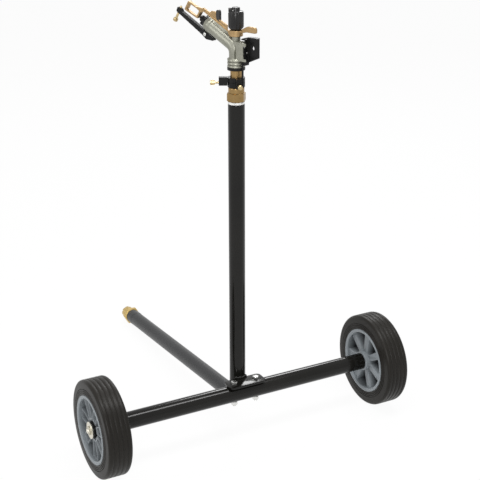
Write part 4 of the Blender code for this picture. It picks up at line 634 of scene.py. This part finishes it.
spigot_outline = [(9, 605.5), (16.6, 605.5), (16.95, 606), (16.95, 622.6), (18.4, 622.9), (18.4, 633.6),
                  (11, 634), (11, 638.9), (12.5, 638.9), (12.8, 639.2), (12.8, 641.1), (12.5, 641.4),
                  (9, 641.4)]
hose_hexagon = hexagon_nut(39, HEX_FROM, HEX_TO, 9.2, math.pi / 6, 0.95)
piece("hose_end_adaptor", joined(hose_hexagon, lathe(spigot_outline, 64)), leg_place, hose_brass, "frame",
      "hose_adaptor")
hose_thread = coil(13.35, 645.4, 660.3, 5, 0.5, hose_brass, 32)
piece("hose_swivel_nut", joined(lobed_nut(), hose_thread), leg_place, hose_brass, "hose_swivel", "hose_nut")
piece("hose_seal_washer", lathe(rounded_box(9, 641.7, 12.85, 644.1, 0.5), 64), leg_place, washer_rubber,
      "hose_swivel", "hose_washer")


# Riser top: white sealing tape wound on the thread, a bronze-coloured brass adaptor with its hexagon and
# shoulder, and the brass sleeve that the head turns on.
TAPE_FROM = 764.8
TAPE_WRAPS = 5
bronze_brass = finish("Dull brass", (0.24, 0.155, 0.062), (0.36, 0.24, 0.105), (0.25, 0.38),
                      metallic=1.0, drift=70, grain=1200, bump=0.16)
thread_tape = finish("Thread tape", (0.66, 0.66, 0.64), (0.84, 0.84, 0.82), (0.5, 0.7),
                     drift=260, grain=1500, bump=0.3, depth=0.1)
tape_outline = [(PIPE_BORE, TAPE_FROM)]
for wrap in range(TAPE_WRAPS):
    foot = TAPE_FROM + wrap
    tape_outline += [(17.2 + 0.12 * (wrap % 2), foot + 0.05), (17.6, foot + 0.35), (17.6, foot + 0.8)]
tape_outline += [(17.3, TAPE_FROM + TAPE_WRAPS), (PIPE_BORE, TAPE_FROM + TAPE_WRAPS)]
piece("wound_tape", lathe(tape_outline, 64), riser_place, thread_tape, "frame", "sealing_tape")
shoulder_outline = [(9, 746.5), (13.5, 746.5), (13.8, 747), (13.8, 771.1), (16.8, 771.1), (16.8, 798.4),
                    (16.4, 799.5), (15.3, 800.4), (14.6, 800.6), (12.7, 800.6), (12.7, 774.1), (9, 774.1)]
top_hexagon = hexagon_nut(35.5, 770.1, 789.1, 12.7, 0.35, 0.95)
piece("hexagon_adaptor", joined(top_hexagon, lathe(shoulder_outline, 72)), riser_place, bronze_brass, "frame",
      "riser_adaptor")
piece("turning_sleeve", lathe(rounded_box(9, 774.4, 12.4, 852.7, 0.4), 64), riser_place, bronze_brass,
      "frame", "bearing_sleeve")


# Trip collars: two black moulded rings that clamp on the sleeve, one over the other. Each has an ear with a
# knurled brass thumbscrew; where the ears stand sets how far the head sweeps.
COLLARS_LOW = 800.9
COLLARS_HIGH = 821.2
COLLAR_HEIGHT = 10
COLLAR_BORE = 12.7
COLLAR_RADIUS = 18.2
EAR_HALF = 6
SCREW_RADIUS = 2.3
KNURL_RADIUS = 5.2
black_plastic = finish("Black plastic", (0.0045, 0.0045, 0.0044), (0.0095, 0.0093, 0.009),
                       (0.26, 0.40), drift=70, grain=1700, bump=0.2, specular=0.17)
screw_brass = finish("Bright brass", (0.46, 0.35, 0.18), (0.64, 0.52, 0.31), (0.22, 0.36),
                     metallic=1.0, drift=160, grain=1500)


def side_solid(outline, low, high):
    """A plain solid from an outline of (y, z), between two values of x."""
    return loft([[(x, y, z) for y, z in outline] for x in (low, high)])


def plan_solid(outline, low, high):
    return loft([level(outline, low), level(outline, high)])


def rod_solid(radius, low, high, sides=48):
    return lathe([(0, low), (radius, low), (radius, high), (0, high)], sides, False)


def tube_solid(bore, radius, low, high, sides):
    return lathe([(bore, low), (radius, low), (radius, high), (bore, high)], sides, False)


def box_solid(low, high):
    return plan_solid([(low[0], low[1]), (high[0], low[1]), (high[0], high[1]), (low[0], high[1])],
                      low[2], high[2])


def aimed(bm, direction, start=(0, 0, 0)):
    """Turns a shape made about Z to point along a direction from a start."""
    turn = Vector(direction).to_track_quat("Z", "Y").to_matrix().to_4x4()
    bm.transform(Matrix.Translation(Vector(start) * MM) @ turn)
    return bm


def moulded(adds, cuts, voxel, smooth=4):
    """Joins solids and cuts others away. A voxel size melts the edges as a mould does; 0 keeps them."""
    blank = set_out("blank", mesh_from("blank", adds[0]))
    helpers = []
    for operation, solids in (("UNION", adds[1:]), ("DIFFERENCE", cuts)):
        for solid in solids:
            helpers.append(set_out("helper", mesh_from("helper", solid)))
            step = blank.modifiers.new(operation, "BOOLEAN")
            step.operation = operation
            step.solver = "EXACT"
            step.object = helpers[-1]
    if voxel:
        melt = blank.modifiers.new("melt", "REMESH")
        melt.mode = "VOXEL"
        melt.voxel_size = voxel * MM
        soften = blank.modifiers.new("soften", "SMOOTH")
        soften.iterations = smooth
        soften.factor = 0.5
    return settled(blank, *helpers)


def knurled_head(low, high, ribs, material):
    """A screw head with fine straight ribs round it."""
    wall = KNURL_RADIUS - 0.4
    tip = KNURL_RADIUS - 0.1
    root = KNURL_RADIUS - 0.9
    core = lathe([(0, low), (wall - 0.6, low), (wall, low + 0.6), (wall, high - 0.8), (wall - 0.8, high),
                  (0, high)], 48)
    width = 2 * math.pi * KNURL_RADIUS / ribs * 0.62
    rib = [(root, -width / 2), (tip, -width / 5), (tip, width / 5), (root, width / 2)]
    return joined(core, copies_round(loft([level(rib, low + 0.9), level(rib, high - 1.1)]), ribs, material))


def collar_piece(low, bearing, ear_length, ear_low, screw_height):
    high = low + COLLAR_HEIGHT
    reach = COLLAR_RADIUS + ear_length
    ring = tube_solid(COLLAR_BORE, COLLAR_RADIUS, low, high, 64)
    root = box_solid((14.4, -EAR_HALF, low), (reach, EAR_HALF, high))
    ear_outline = [(18.4, -EAR_HALF), (reach, -EAR_HALF), (reach, EAR_HALF), (18.4, EAR_HALF)]
    ear = plan_solid(round_corners(ear_outline, 1.5, closed=False), ear_low, COLLARS_HIGH)
    bore = rod_solid(COLLAR_BORE, low - 1, high + 1, 64)
    hole = aimed(rod_solid(SCREW_RADIUS + 0.5, 20.2, reach + 1, 32), (1, 0, 0), (0, 0, screw_height))
    bm = moulded([ring, root, ear], [bore, hole], 0.42, 3)
    bm.transform(Matrix.Rotation(bearing, 4, "Z"))
    return bm


def thumbscrew(ear_length, bare, height, bearing):
    start = COLLAR_RADIUS + ear_length
    face = start + bare
    tip = start - 0.55 * ear_length
    shank = lathe([(0, tip), (SCREW_RADIUS - 0.3, tip), (SCREW_RADIUS, tip + 0.4), (SCREW_RADIUS, face + 1),
                   (0, face + 1)], 32)
    turns = (0.5 * ear_length + bare) / 0.9
    thread = coil(SCREW_RADIUS - 0.02, start - 0.5 * ear_length, face - 0.3, turns, 0.22, screw_brass, 20, 6)
    bm = joined(shank, thread, knurled_head(face, face + 10, 26, screw_brass))
    aimed(bm, (1, 0, 0), (0, 0, height))
    bm.transform(Matrix.Rotation(bearing, 4, "Z"))
    return bm


MIDDLE = (COLLARS_LOW + COLLARS_HIGH) / 2
for side, low, degrees, ear, ear_low, height, bare in (
        ("lower", COLLARS_LOW, -104.4, 8, COLLARS_LOW, MIDDLE - 4.4, 2),
        ("upper", COLLARS_LOW + 10.3, 152.4, 18, COLLARS_LOW + 3, MIDDLE - 1.7, 8)):
    bearing = math.radians(degrees)
    piece(side + "_stop_collar", collar_piece(low, bearing, ear, ear_low, height), riser_place, black_plastic,
          side + "_collar", side + "_trip_collar")
    piece(side + "_stop_screw", thumbscrew(ear, bare, height, bearing), riser_place, screw_brass,
          side + "_thumbscrew", side + "_trip_thumbscrew")


# Head body: one zinc casting, left as cast. Three raised rings stand round its base, and a bend leads the
# water into the long barrel. A web at the back carries the trip lever; its near face has two ears and a
# groove beside the waterway. A lug below the barrel carries the diffuser.
HEAD_TURN = math.radians(20.35)
TRAJECTORY = math.radians(26)
BARREL_SWEEP = math.pi / 2 - TRAJECTORY
BARREL_RADIUS = 14.8
WATERWAY_RADIUS = 10
HEAD_BEND = 22.0
BEND_HEIGHT = 884.5
BEND_RUN = HEAD_BEND * math.tan(BARREL_SWEEP / 2)
BEND_FOOT = BEND_HEIGHT - BEND_RUN
BASE_LOW = 842.7
HUB_SEAT = 904.9
CHEEK_LOW = 858.5
CHEEK_HIGH = 896.5
LEVER_PIVOT = 875.3
LUG_Y = 83.016
LUG_Z = 899.066
LUG_RADIUS = 4.6
ALONG = (1, 0, 0)
BACK = (0, -1, 0)
head_place = riser_place @ Matrix.Rotation(HEAD_TURN, 4, "Z")
barrel_place = head_place @ shift(z=BEND_HEIGHT) @ Matrix.Rotation(-BARREL_SWEEP, 4, "X")
cast_zinc = finish("Cast zinc", (0.21, 0.21, 0.172), (0.32, 0.32, 0.268), (0.36, 0.46),
                   metallic=0.75, drift=55, share=0.5, bump=0.05, depth=0.06)


def waterway(vertical, barrel, sides=80, steps=20):
    """Rings of (height, radius) up the tube, round the bend, and of (distance, radius) along the barrel."""
    angles = [2 * math.pi * k / sides for k in range(sides)]

    def ring(y, z, lean, radius):
        return [(radius * math.cos(a), y + radius * math.sin(a) * math.cos(lean),
                 z - radius * math.sin(a) * math.sin(lean)) for a in angles]
    rings = [ring(0, height, 0, radius) for height, radius in vertical]
    for k in range(steps + 1):
        lean = BARREL_SWEEP * k / steps
        rings.append(ring(HEAD_BEND * (1 - math.cos(lean)), BEND_FOOT + HEAD_BEND * math.sin(lean), lean,
                          vertical[-1][1]))
    for distance, radius in barrel:
        rings.append(ring(distance * math.cos(TRAJECTORY), BEND_HEIGHT + distance * math.sin(TRAJECTORY),
                          BARREL_SWEEP, radius))
    return loft(rings)


base_rings = []
for k in range(3):
    foot = BASE_LOW + 6.5 * k
    base_rings += [(foot, 17.8), (foot + 0.6, 18.4), (foot + 3.5, 18.4), (foot + 4.1, 17.9)]
    if k < 2:
        base_rings += [(foot + 4.7, 15.9), (foot + 5.9, 15.9)]
base_rings += [(862.2, BARREL_RADIUS), (BEND_FOOT - 1, BARREL_RADIUS)]
mouth_rings = [(BEND_RUN + 1.5, BARREL_RADIUS), (68.6, BARREL_RADIUS), (70, BARREL_RADIUS), (70.6, 15.1),
               (73.4, 15.1), (74, 14.75), (77, 14.75), (77.6, 15.1), (80.4, 15.1), (81, BARREL_RADIUS),
               (85.8, BARREL_RADIUS), (86.7, 14.4), (87, 13.6)]
web = round_corners([(-9.8, 855.7), (-26.5, 855.7), (-26.5, 862.7), (-20, 862.7), (-20, 887.9),
                     (-26.5, 887.9), (-26.5, 897.4), (4, 897.4), (4, 885.4), (-9.8, 871.4)], 1.6)
cheek = rounded_box(-2, CHEEK_LOW, -28.2, CHEEK_HIGH, 2)
lower_ear = rounded_box(-24, CHEEK_LOW, -35.5, 864, 1.5)
upper_ear = rounded_box(-24, 889.6, -35.5, CHEEK_HIGH, 1.5)
lug_top = (LUG_Y - 10.5 * math.sin(TRAJECTORY), LUG_Z + 10.5 * math.cos(TRAJECTORY))
lug = arc((LUG_Y, LUG_Z), LUG_RADIUS, 206, 386, 20) + arc(lug_top, LUG_RADIUS, 26, 206, 1)
body_adds = [waterway(base_rings, mouth_rings), rod_solid(9, 890.5, HUB_SEAT + 2), side_solid(web, -2, 2),
             side_solid(cheek, -11, -9),
             box_solid((-10.5, -19.4, CHEEK_LOW + 0.5), (0, -4, CHEEK_HIGH - 0.5)),
             side_solid(lug, -1.7, 1.7), side_solid(lower_ear, -10.95, -9.2),
             side_solid(upper_ear, -10.95, -9.2)]
bore_rise = [(BASE_LOW - 1, 12.75), (853, 12.75), (853.3, WATERWAY_RADIUS), (BEND_FOOT - 1, WATERWAY_RADIUS)]
bore_mouth = [(69, WATERWAY_RADIUS), (69.1, 11.4), (89, 11.4)]
body_cuts = [rod_solid(15.4, HUB_SEAT, HUB_SEAT + 20), waterway(bore_rise, bore_mouth, 64),
             rod_solid(3.3, 895.9, HUB_SEAT + 1),
             aimed(rod_solid(1.6, 13.5, 27, 24), BACK, (0, 0, LEVER_PIVOT)),
             aimed(rod_solid(2.1, -6, 6, 24), ALONG, (0, LUG_Y, LUG_Z)),
             box_solid((-15, -9.6, 862), (-10.4, -6.8, 889))]
piece("cast_head", moulded(body_adds, body_cuts, 0), head_place, cast_zinc, "head", "head_body", sharp=42)
piece("bearing_seal_ring", lathe(rounded_box(12.75, 836.4, 18.7, 842.4, 1.0, 5), 72), head_place,
      black_plastic, "head", "bearing_seal")


# Nozzle: a black moulded insert in the barrel's mouth, with four fins to turn it by and a tapered bore.
nozzle_outline = [(8.5, 71), (10.8, 71), (11.1, 71.4), (11.1, 87.3), (10.6, 87.4), (11, 88), (11, 93.2),
                  (10.6, 93.9), (8.6, 95), (7.4, 104.8), (6.9, 105.8), (6.2, 106), (4.8, 106), (4.5, 105.6)]
fin = slab(rounded_box(6.1, -1.2, 12, 1.2, 0.5), 87.6, 101, 0.6)
nozzle_fins = copies_round(fin, 4, black_plastic, math.pi / 4)
piece("finned_nozzle", joined(lathe(nozzle_outline, 64), nozzle_fins), barrel_place, black_plastic, "head",
      "nozzle")


# Impact arm: a brass casting that swings on the pivot pin. It has a tapered bar beside the barrel, the open
# spoon that the jet strikes, a balance paddle behind and, before a lug, a black rubber bumper.
HUB_LOW = 906.3
HUB_HIGH = 918.3
HUB_RADIUS = 14.2
HUB_BORE = 3.35
CAP_INSIDE = 956.6
BAR_OUT = -12.6
BAR_IN = -8.0
SPOON_WALL = 4.2
arm_brass = finish("Cast brass", (0.29, 0.19, 0.088), (0.44, 0.30, 0.15), (0.34, 0.50),
                   metallic=0.85, drift=60, share=0.5, bump=0.28, depth=0.12)
bumper_rubber = finish("Bumper rubber", (0.009, 0.009, 0.0088), (0.018, 0.0178, 0.0172),
                       (0.42, 0.58), drift=60, grain=1400, bump=0.2)


def spoon_frame(wall):
    """The frame's long edges follow the jet and its end walls lean back from it."""
    jet = Vector((math.cos(math.radians(21.5)), math.sin(math.radians(21.5))))
    lean = Vector((math.cos(math.radians(122)), math.sin(math.radians(122))))
    centre = Vector((111.5, 947.4))
    half = (20.0 - wall) * jet
    rise = (11.2 - 0.8 * wall) * lean
    return [tuple(centre - half - rise), tuple(centre + half - rise), tuple(centre + half + rise),
            tuple(centre - half + rise)]


spoon_outside = spoon_frame(0)
spoon_inside = spoon_frame(SPOON_WALL)
near_low, far_low, far_high, near_high = spoon_outside
near_wall = [near_low, near_high, spoon_inside[3], spoon_inside[0]]
far_wall = [far_low, far_high, spoon_inside[2], spoon_inside[1]]
bar = [(1, 907.3), (8, 907.3), (12, 914.95), (81, 948.6), (81, 955.6), (15, 927.95), (12, 926.45),
       (4, HUB_HIGH), (1, HUB_HIGH)]
bar_recess = [(17, 919.9), (76, 948.7), (76, 951.2), (17, 926.3)]
neck = [(77, 947.6), (near_high[0] + 1, near_high[1] - 5), (near_high[0] + 15, near_high[1] + 4),
        (near_high[0] + 16, 955.6), (77, 953.6)]
paddle = [(-6, 910.3), (-6, 917.3), (-14, 919.3), (-23, 924.8), (-31, 928.8), (-36, 929.8), (-52.5, 929.8),
          (-55.5, 926.8), (-55.5, 919.3), (-53.5, 917.3), (-31, 917.3), (-20, 914.8)]
bumper_lug = [(44, 933.56), (61, 941.85), (61, 947.56), (57, 951.56), (46, 951.56), (44, 949.56)]
arm_adds = [tube_solid(HUB_BORE, HUB_RADIUS, HUB_LOW, HUB_HIGH, 72), side_solid(bar, BAR_OUT, BAR_IN),
            side_solid(round_corners(spoon_outside, 2.5), -11, -4), side_solid(near_wall, -10, -1),
            side_solid(far_wall, -10, -1), side_solid(neck, BAR_OUT, BAR_IN),
            side_solid(round_corners(paddle, 2), -2.4, 2.4), side_solid(bumper_lug, BAR_OUT, BAR_IN)]
arm_cuts = [side_solid(bar_recess, BAR_OUT - 1, BAR_OUT + 1.5),
            side_solid(round_corners(spoon_inside, 1.5), -30, 30), rod_solid(16.8, HUB_HIGH, CAP_INSIDE, 72),
            rod_solid(HUB_BORE, HUB_LOW - 1, HUB_HIGH + 1, 32)]
piece("cast_arm", moulded(arm_adds, arm_cuts, 0.42, 4), head_place, arm_brass, "arm", "impact_arm", sharp=60)
bumper_shape = round_corners([(34.7, 932), (43.7, 936.2), (43.7, 952.6), (42.6, 954.9), (40, 955.56),
                              (38, 955.56), (35.6, 954.4), (34.7, 951.8)], 1.2)
piece("bumper_block", moulded([side_solid(bumper_shape, BAR_OUT, -6)], [], 0.4, 6), head_place, bumper_rubber,
      "arm", "arm_bumper", sharp=60)


# Pivot: a plain steel pin stands in the casting's boss, with a pale thrust washer below the arm's hub. Over
# the arm's spring sits a ribbed black cap with a knob and a tab, locked to the pin by a set screw.
CAP_LOW = 918.6
CAP_FLUTES = 10
PIN_LOW = 896.2
PIN_HIGH = 960.6
plain_steel = finish("Plain steel", (0.50, 0.50, 0.48), (0.64, 0.64, 0.62), (0.26, 0.4),
                     metallic=1.0, drift=120, grain=1500, bump=0.08)
spring_steel = finish("Spring steel", (0.36, 0.36, 0.35), (0.50, 0.50, 0.49), (0.22, 0.34),
                      metallic=1.0, drift=160, grain=1500, bump=0.08)
cap_plastic = finish("Cap plastic", (0.006, 0.006, 0.006), (0.012, 0.0118, 0.0115),
                     (0.2, 0.32), drift=80, grain=1700, bump=0.15, depth=0.04, specular=0.32)
pin_outline = [(0, PIN_LOW), (2.6, PIN_LOW), (3, PIN_LOW + 0.4), (3, PIN_HIGH - 0.5), (2.5, PIN_HIGH),
               (0, PIN_HIGH)]
piece("steel_pin", lathe(pin_outline, 40), head_place, plain_steel, "head", "pivot_pin")
piece("thrust_disc", lathe(rounded_box(3.3, 905.2, 8, 906.0, 0.2), 48), head_place, pale_plastic, "head",
      "thrust_washer")


def ribbed_cap(count=120):
    """A hollow cap: its bore and inside first, then up the fluted wall and over the plain knob."""
    crests = []
    for k in range(count):
        share = (2 * math.pi * k / count * CAP_FLUTES / (2 * math.pi)) % 1.0
        rise = min(1.0, max(0.0, (0.36 - min(share, 1 - share)) / 0.12))
        crests.append(rise * rise * (3 - 2 * rise))
    rings = circles(count, (1.0, 960.9), (3.3, 960.9), (3.3, 953.6), (12.6, 953.6), (12.6, 924.6),
                    (9.5, 920.1), (9.5, CAP_LOW), (10.6, CAP_LOW), (11.4, 919.0))
    for wall, proud, height in ((13.2, 0.3, 921.6), (14.5, 0.8, 923.8), (14.7, 1.2, 925.2),
                                (14.75, 1.25, 952.4), (14.8, 0.9, 953.4), (14.9, 0.2, 954.2)):
        rings.append(around([(wall + proud * crest, height) for crest in crests]))
    rings += circles(count, (15.0, 954.9), (14.8, 956.0), (14.0, 956.6), (9.1, 956.7), (8.5, 957.1),
                     (8.3, 957.8), (8.3, 963.2), (8.0, 964.0), (7.3, 964.5), (6.0, 964.6), (3.4, 964.6),
                     (3.1, 964.2), (1.0, 964.2))
    return loft(rings)


tab = slab(rounded_box(-15.4, -1.5, -7.3, 1.5, 0.5), 954.6, 963, 0.5)
tab.transform(Matrix.Rotation(math.radians(-48), 4, "Z"))
piece("ribbed_spring_cap", joined(ribbed_cap(), tab), head_place, cap_plastic, "head", "spring_cap", sharp=45)
set_screw = lathe([(0, 3.3), (1.6, 3.3), (1.6, 8.4), (1.3, 8.7), (0.8, 8.7), (0.8, 7.6), (0, 7.6)], 32)
screw_bearing = math.radians(170)
aimed(set_screw, (math.cos(screw_bearing), math.sin(screw_bearing), 0), (0, 0, 958.5))
piece("cap_set_screw", set_screw, head_place, plain_steel, "head", "spring_cap_screw")
arm_spring = coil(7, 919.8, 952.4, 5, 0.9, spring_steel, 32, 10)
piece("arm_return_spring", arm_spring, head_place, spring_steel, "head", "impact_spring")


# Trip lever: one black moulding that rocks on a steel pin in the web's notch. A side plate with a teardrop
# hole, a back wall and a bent top flange stand round the web, and a finger reaches down to the collars' ears.
WALL_Y = -26.9
PLATE_IN = 2.3
PLATE_OUT = 4.7
lever_place = head_place @ shift(z=LEVER_PIVOT)
side_plate = [(WALL_Y, -25.6), (-31, -25.6), (-31.8, -20.1), (-60, -7.6), (-60, 31), (WALL_Y, 29)]
side_block = [(-20.3, -11.4), (-20.3, 11.4), (-28.1, 11.4), (-28.1, -11.4)]
flange = [(-60, 32), (-30, 31), (-20, 28.6), (-9, 24.9), (-9, 22.6), (-12, 23.4), (-27, 23.4), (-31, 27.5),
          (-60, 29.2)]
finger_root = [(PLATE_OUT, -30.1), (PLATE_OUT, -19.6), (-5.6, -19.6), (-5.6, -22.6)]
teardrop = arc((-44.5, 10), 2.6, -200, 20, 20) + [(-44.5, 17)]
lever_adds = [side_solid(side_plate, PLATE_IN, PLATE_OUT),
              box_solid((-7.5, -30.4, -25.6), (PLATE_OUT, WALL_Y, 11)),
              box_solid((-5, -30.4, 10), (PLATE_OUT, WALL_Y, 28.4)),
              side_solid(side_block, PLATE_IN, PLATE_OUT),
              aimed(rod_solid(4.4, 20.3, 29.1, 40), BACK), side_solid(flange, PLATE_IN, 13.3),
              plan_solid(finger_root, -25.6, -20.8), box_solid((-5.6, -22.6, -69.4), (-2, -19.6, -24.6))]
flange_end = [(14.3, -52), (14.3, -65), (PLATE_OUT, -65), (PLATE_OUT, -59)]
lever_cuts = [plan_solid(flange_end, 22, 37), rod_solid(12, 17, 37, 64), side_solid(teardrop, 0, 6.7),
              aimed(rod_solid(1.65, 10, 37.1, 24), BACK), aimed(rod_solid(3.2, 19.3, 24.3, 32), BACK),
              aimed(rod_solid(2.5, 29.0, 37.1, 32), BACK)]
piece("moulded_trip_lever", moulded(lever_adds, lever_cuts, 0.38, 3), lever_place, black_plastic,
      "trip_lever", "trip_lever", sharp=60)
lever_pin = [(0, 13.8), (1.1, 13.8), (1.3, 14), (1.3, 29.4), (2, 29.4), (2, 30.3), (1.7, 30.6), (0, 30.6)]
piece("trip_lever_pin", aimed(lathe(lever_pin, 32), BACK), lever_place, plain_steel, "head", "trip_pin")
piece("trip_lever_spring", aimed(coil(2.1, 20.6, 23.7, 2, 0.3, spring_steel, 24, 8), BACK), lever_place,
      spring_steel, "head", "trip_spring")


# Diffuser: a tapered black moulding forked over the lug and held by a steel clamp screw. The knurled brass
# screw in its tip breaks up the jet; screwed in or out, it shortens or lengthens the throw.
DIFFUSER_RISE = math.radians(27)
TIP_Y = 87
TIP_LEAN = math.radians(4)
diffuser_place = head_place @ shift(0, LUG_Y, LUG_Z) @ Matrix.Rotation(DIFFUSER_RISE, 4, "X")
tip_turn = shift(y=TIP_Y) @ Matrix.Rotation(TIP_LEAN, 4, "X")
diffuser_shape = round_corners([(-25, 0.1), (-7, -8), (8, -6), (90, -4), (92, -2), (92, 7), (82, 7), (79, 4),
                                (-25, 5.7)], 1.5)
tip_hole = rod_solid(2.9, -20, 20, 32)
tip_hole.transform(tip_turn)
diffuser_cuts = [box_solid((-2, -32.5, -14), (2, 10.6, 14)), aimed(rod_solid(2.1, -12, 12, 24), ALONG),
                 tip_hole]
diffuser = moulded([side_solid(diffuser_shape, -4.5, 4.5)], diffuser_cuts, 0.45, 4)
piece("diffuser_lever", diffuser, diffuser_place, black_plastic, "diffuser", "diffuser_arm", sharp=60)
clamp_outline = [(0, -4.8), (1.6, -4.8), (1.8, -4.6), (1.8, 4.8), (4, 4.8), (4, 6.3), (3.4, 7.0), (2.6, 7.2),
                 (1.6, 7.2), (1.5, 6.2), (0, 6.2)]
piece("diffuser_clamp", aimed(lathe(clamp_outline, 48), (-1, 0, 0)), diffuser_place, plain_steel, "head",
      "diffuser_clamp_screw")
spread_shank = lathe([(0, -20), (2.75, -20), (2.75, -9.2), (SCREW_RADIUS, -8.6), (SCREW_RADIUS, 10.6),
                      (1.2, 12), (0, 12)], 32)
spread_thread = coil(SCREW_RADIUS - 0.02, -8.0, 10.2, 16, 0.3, screw_brass, 18, 6)
spread_screw = joined(knurled_head(-27, -20, 28, screw_brass), spread_shank, spread_thread)
piece("diffuser_tip_screw", spread_screw, diffuser_place @ tip_turn, screw_brass, "diffuser_screw",
      "diffuser_screw")


# Floor, light and camera: a white sweep under a long overhead lamp over the axle, a tall narrow one at the
# front left and smaller ones at the left and behind at the right, seen from the photograph's place.
def seen_plainly(tree):
    """1 for a ray that comes from the camera, off a mirror or through glass, and otherwise 0."""
    rays = node(tree, "ShaderNodeLightPath").outputs
    seen = rays["Is Camera Ray"]
    for kind in ("Is Glossy Ray", "Is Transmission Ray"):
        seen = node(tree, "ShaderNodeMath", {0: seen, 1: rays[kind]}, operation="MAXIMUM").outputs[0]
    return seen


floor_mesh = bpy.data.meshes.new("floor")
floor_mesh.from_pydata([(-30, -30, 0), (30, -30, 0), (30, 30, 0), (-30, 30, 0)], [], [(0, 1, 2, 3)])
floor = set_out("floor", floor_mesh)
floor_paint = bpy.data.materials.new("White sweep")
floor_paint.use_nodes = True
sweep = floor_paint.node_tree
sweep_shader = sweep.nodes["Principled BSDF"]
wire(sweep, sweep_shader, {"Base Color": (0.86, 0.86, 0.86, 1), "Roughness": 1.0, "Specular IOR Level": 0.0})
share = node(sweep, "ShaderNodeMath", {0: seen_plainly(sweep), 1: 0.95}, operation="MULTIPLY")
glow = node(sweep, "ShaderNodeEmission", {"Strength": 1.0})
both = node(sweep, "ShaderNodeMixShader", {
    0: share.outputs[0], 1: sweep_shader.outputs[0], 2: glow.outputs[0]})
wire(sweep, next(n for n in sweep.nodes if n.type == "OUTPUT_MATERIAL"), {"Surface": both.outputs[0]})
floor_mesh.materials.append(floor_paint)

world = bpy.data.worlds.new("Studio")
bpy.context.scene.world = world
world.use_nodes = True
studio = world.node_tree
room = studio.nodes["Background"]
wire(studio, room, {"Color": (1, 1, 1, 1), "Strength": 0.42})
backdrop = node(studio, "ShaderNodeBackground", {"Strength": 1.0})
studio_mix = node(studio, "ShaderNodeMixShader", {
    0: seen_plainly(studio), 1: room.outputs[0], 2: backdrop.outputs[0]})
wire(studio, next(n for n in studio.nodes if n.type == "OUTPUT_WORLD"), {0: studio_mix.outputs[0]})


def lamp(name, place, target, size, power):
    light = bpy.data.lights.new(name, "AREA")
    light.shape = "RECTANGLE"
    light.size = size[0]
    light.size_y = size[1]
    light.energy = power
    obj = set_out(name, light)
    obj.location = place
    obj.rotation_euler = (Vector(target) - Vector(place)).to_track_quat("-Z", "Y").to_euler()


lamp("overhead lamp", (0, -0.8, 3.0), (0, AXLE_Y * MM, 0.2), (2.6, 0.7), 68)
lamp("front left lamp", (-2.0, -3.2, 1.75), (0, -0.2, 0.4), (0.4, 1.4), 46)
lamp("left lamp", (-3.0, 0, 1.6), (0, 0, 0.8), (0.5, 0.8), 16)
lamp("back right lamp", (1.5, 2.0, 2.2), (0, 0, 0.2), (0.8, 0.8), 26)

turn = math.radians(27.646)
drop = math.radians(21.343)
roll = math.radians(-0.185)
ahead = Vector((math.sin(turn) * math.cos(drop), math.cos(turn) * math.cos(drop), -math.sin(drop)))
right = Vector((math.cos(turn), -math.sin(turn), 0))
up = right.cross(ahead)
level_right = math.cos(roll) * right + math.sin(roll) * up
level_up = math.cos(roll) * up - math.sin(roll) * right
view = bpy.data.cameras.new("camera")
view.lens = 88.735
view.sensor_width = 36
camera = set_out("camera", view)
camera.matrix_world = Matrix.Translation((-1.10474, -2.381618, 1.39538)) @ Matrix(
    (level_right, level_up, -ahead)).transposed().to_4x4()
bpy.context.scene.camera = camera
bpy.context.scene.view_settings.view_transform = "Standard"
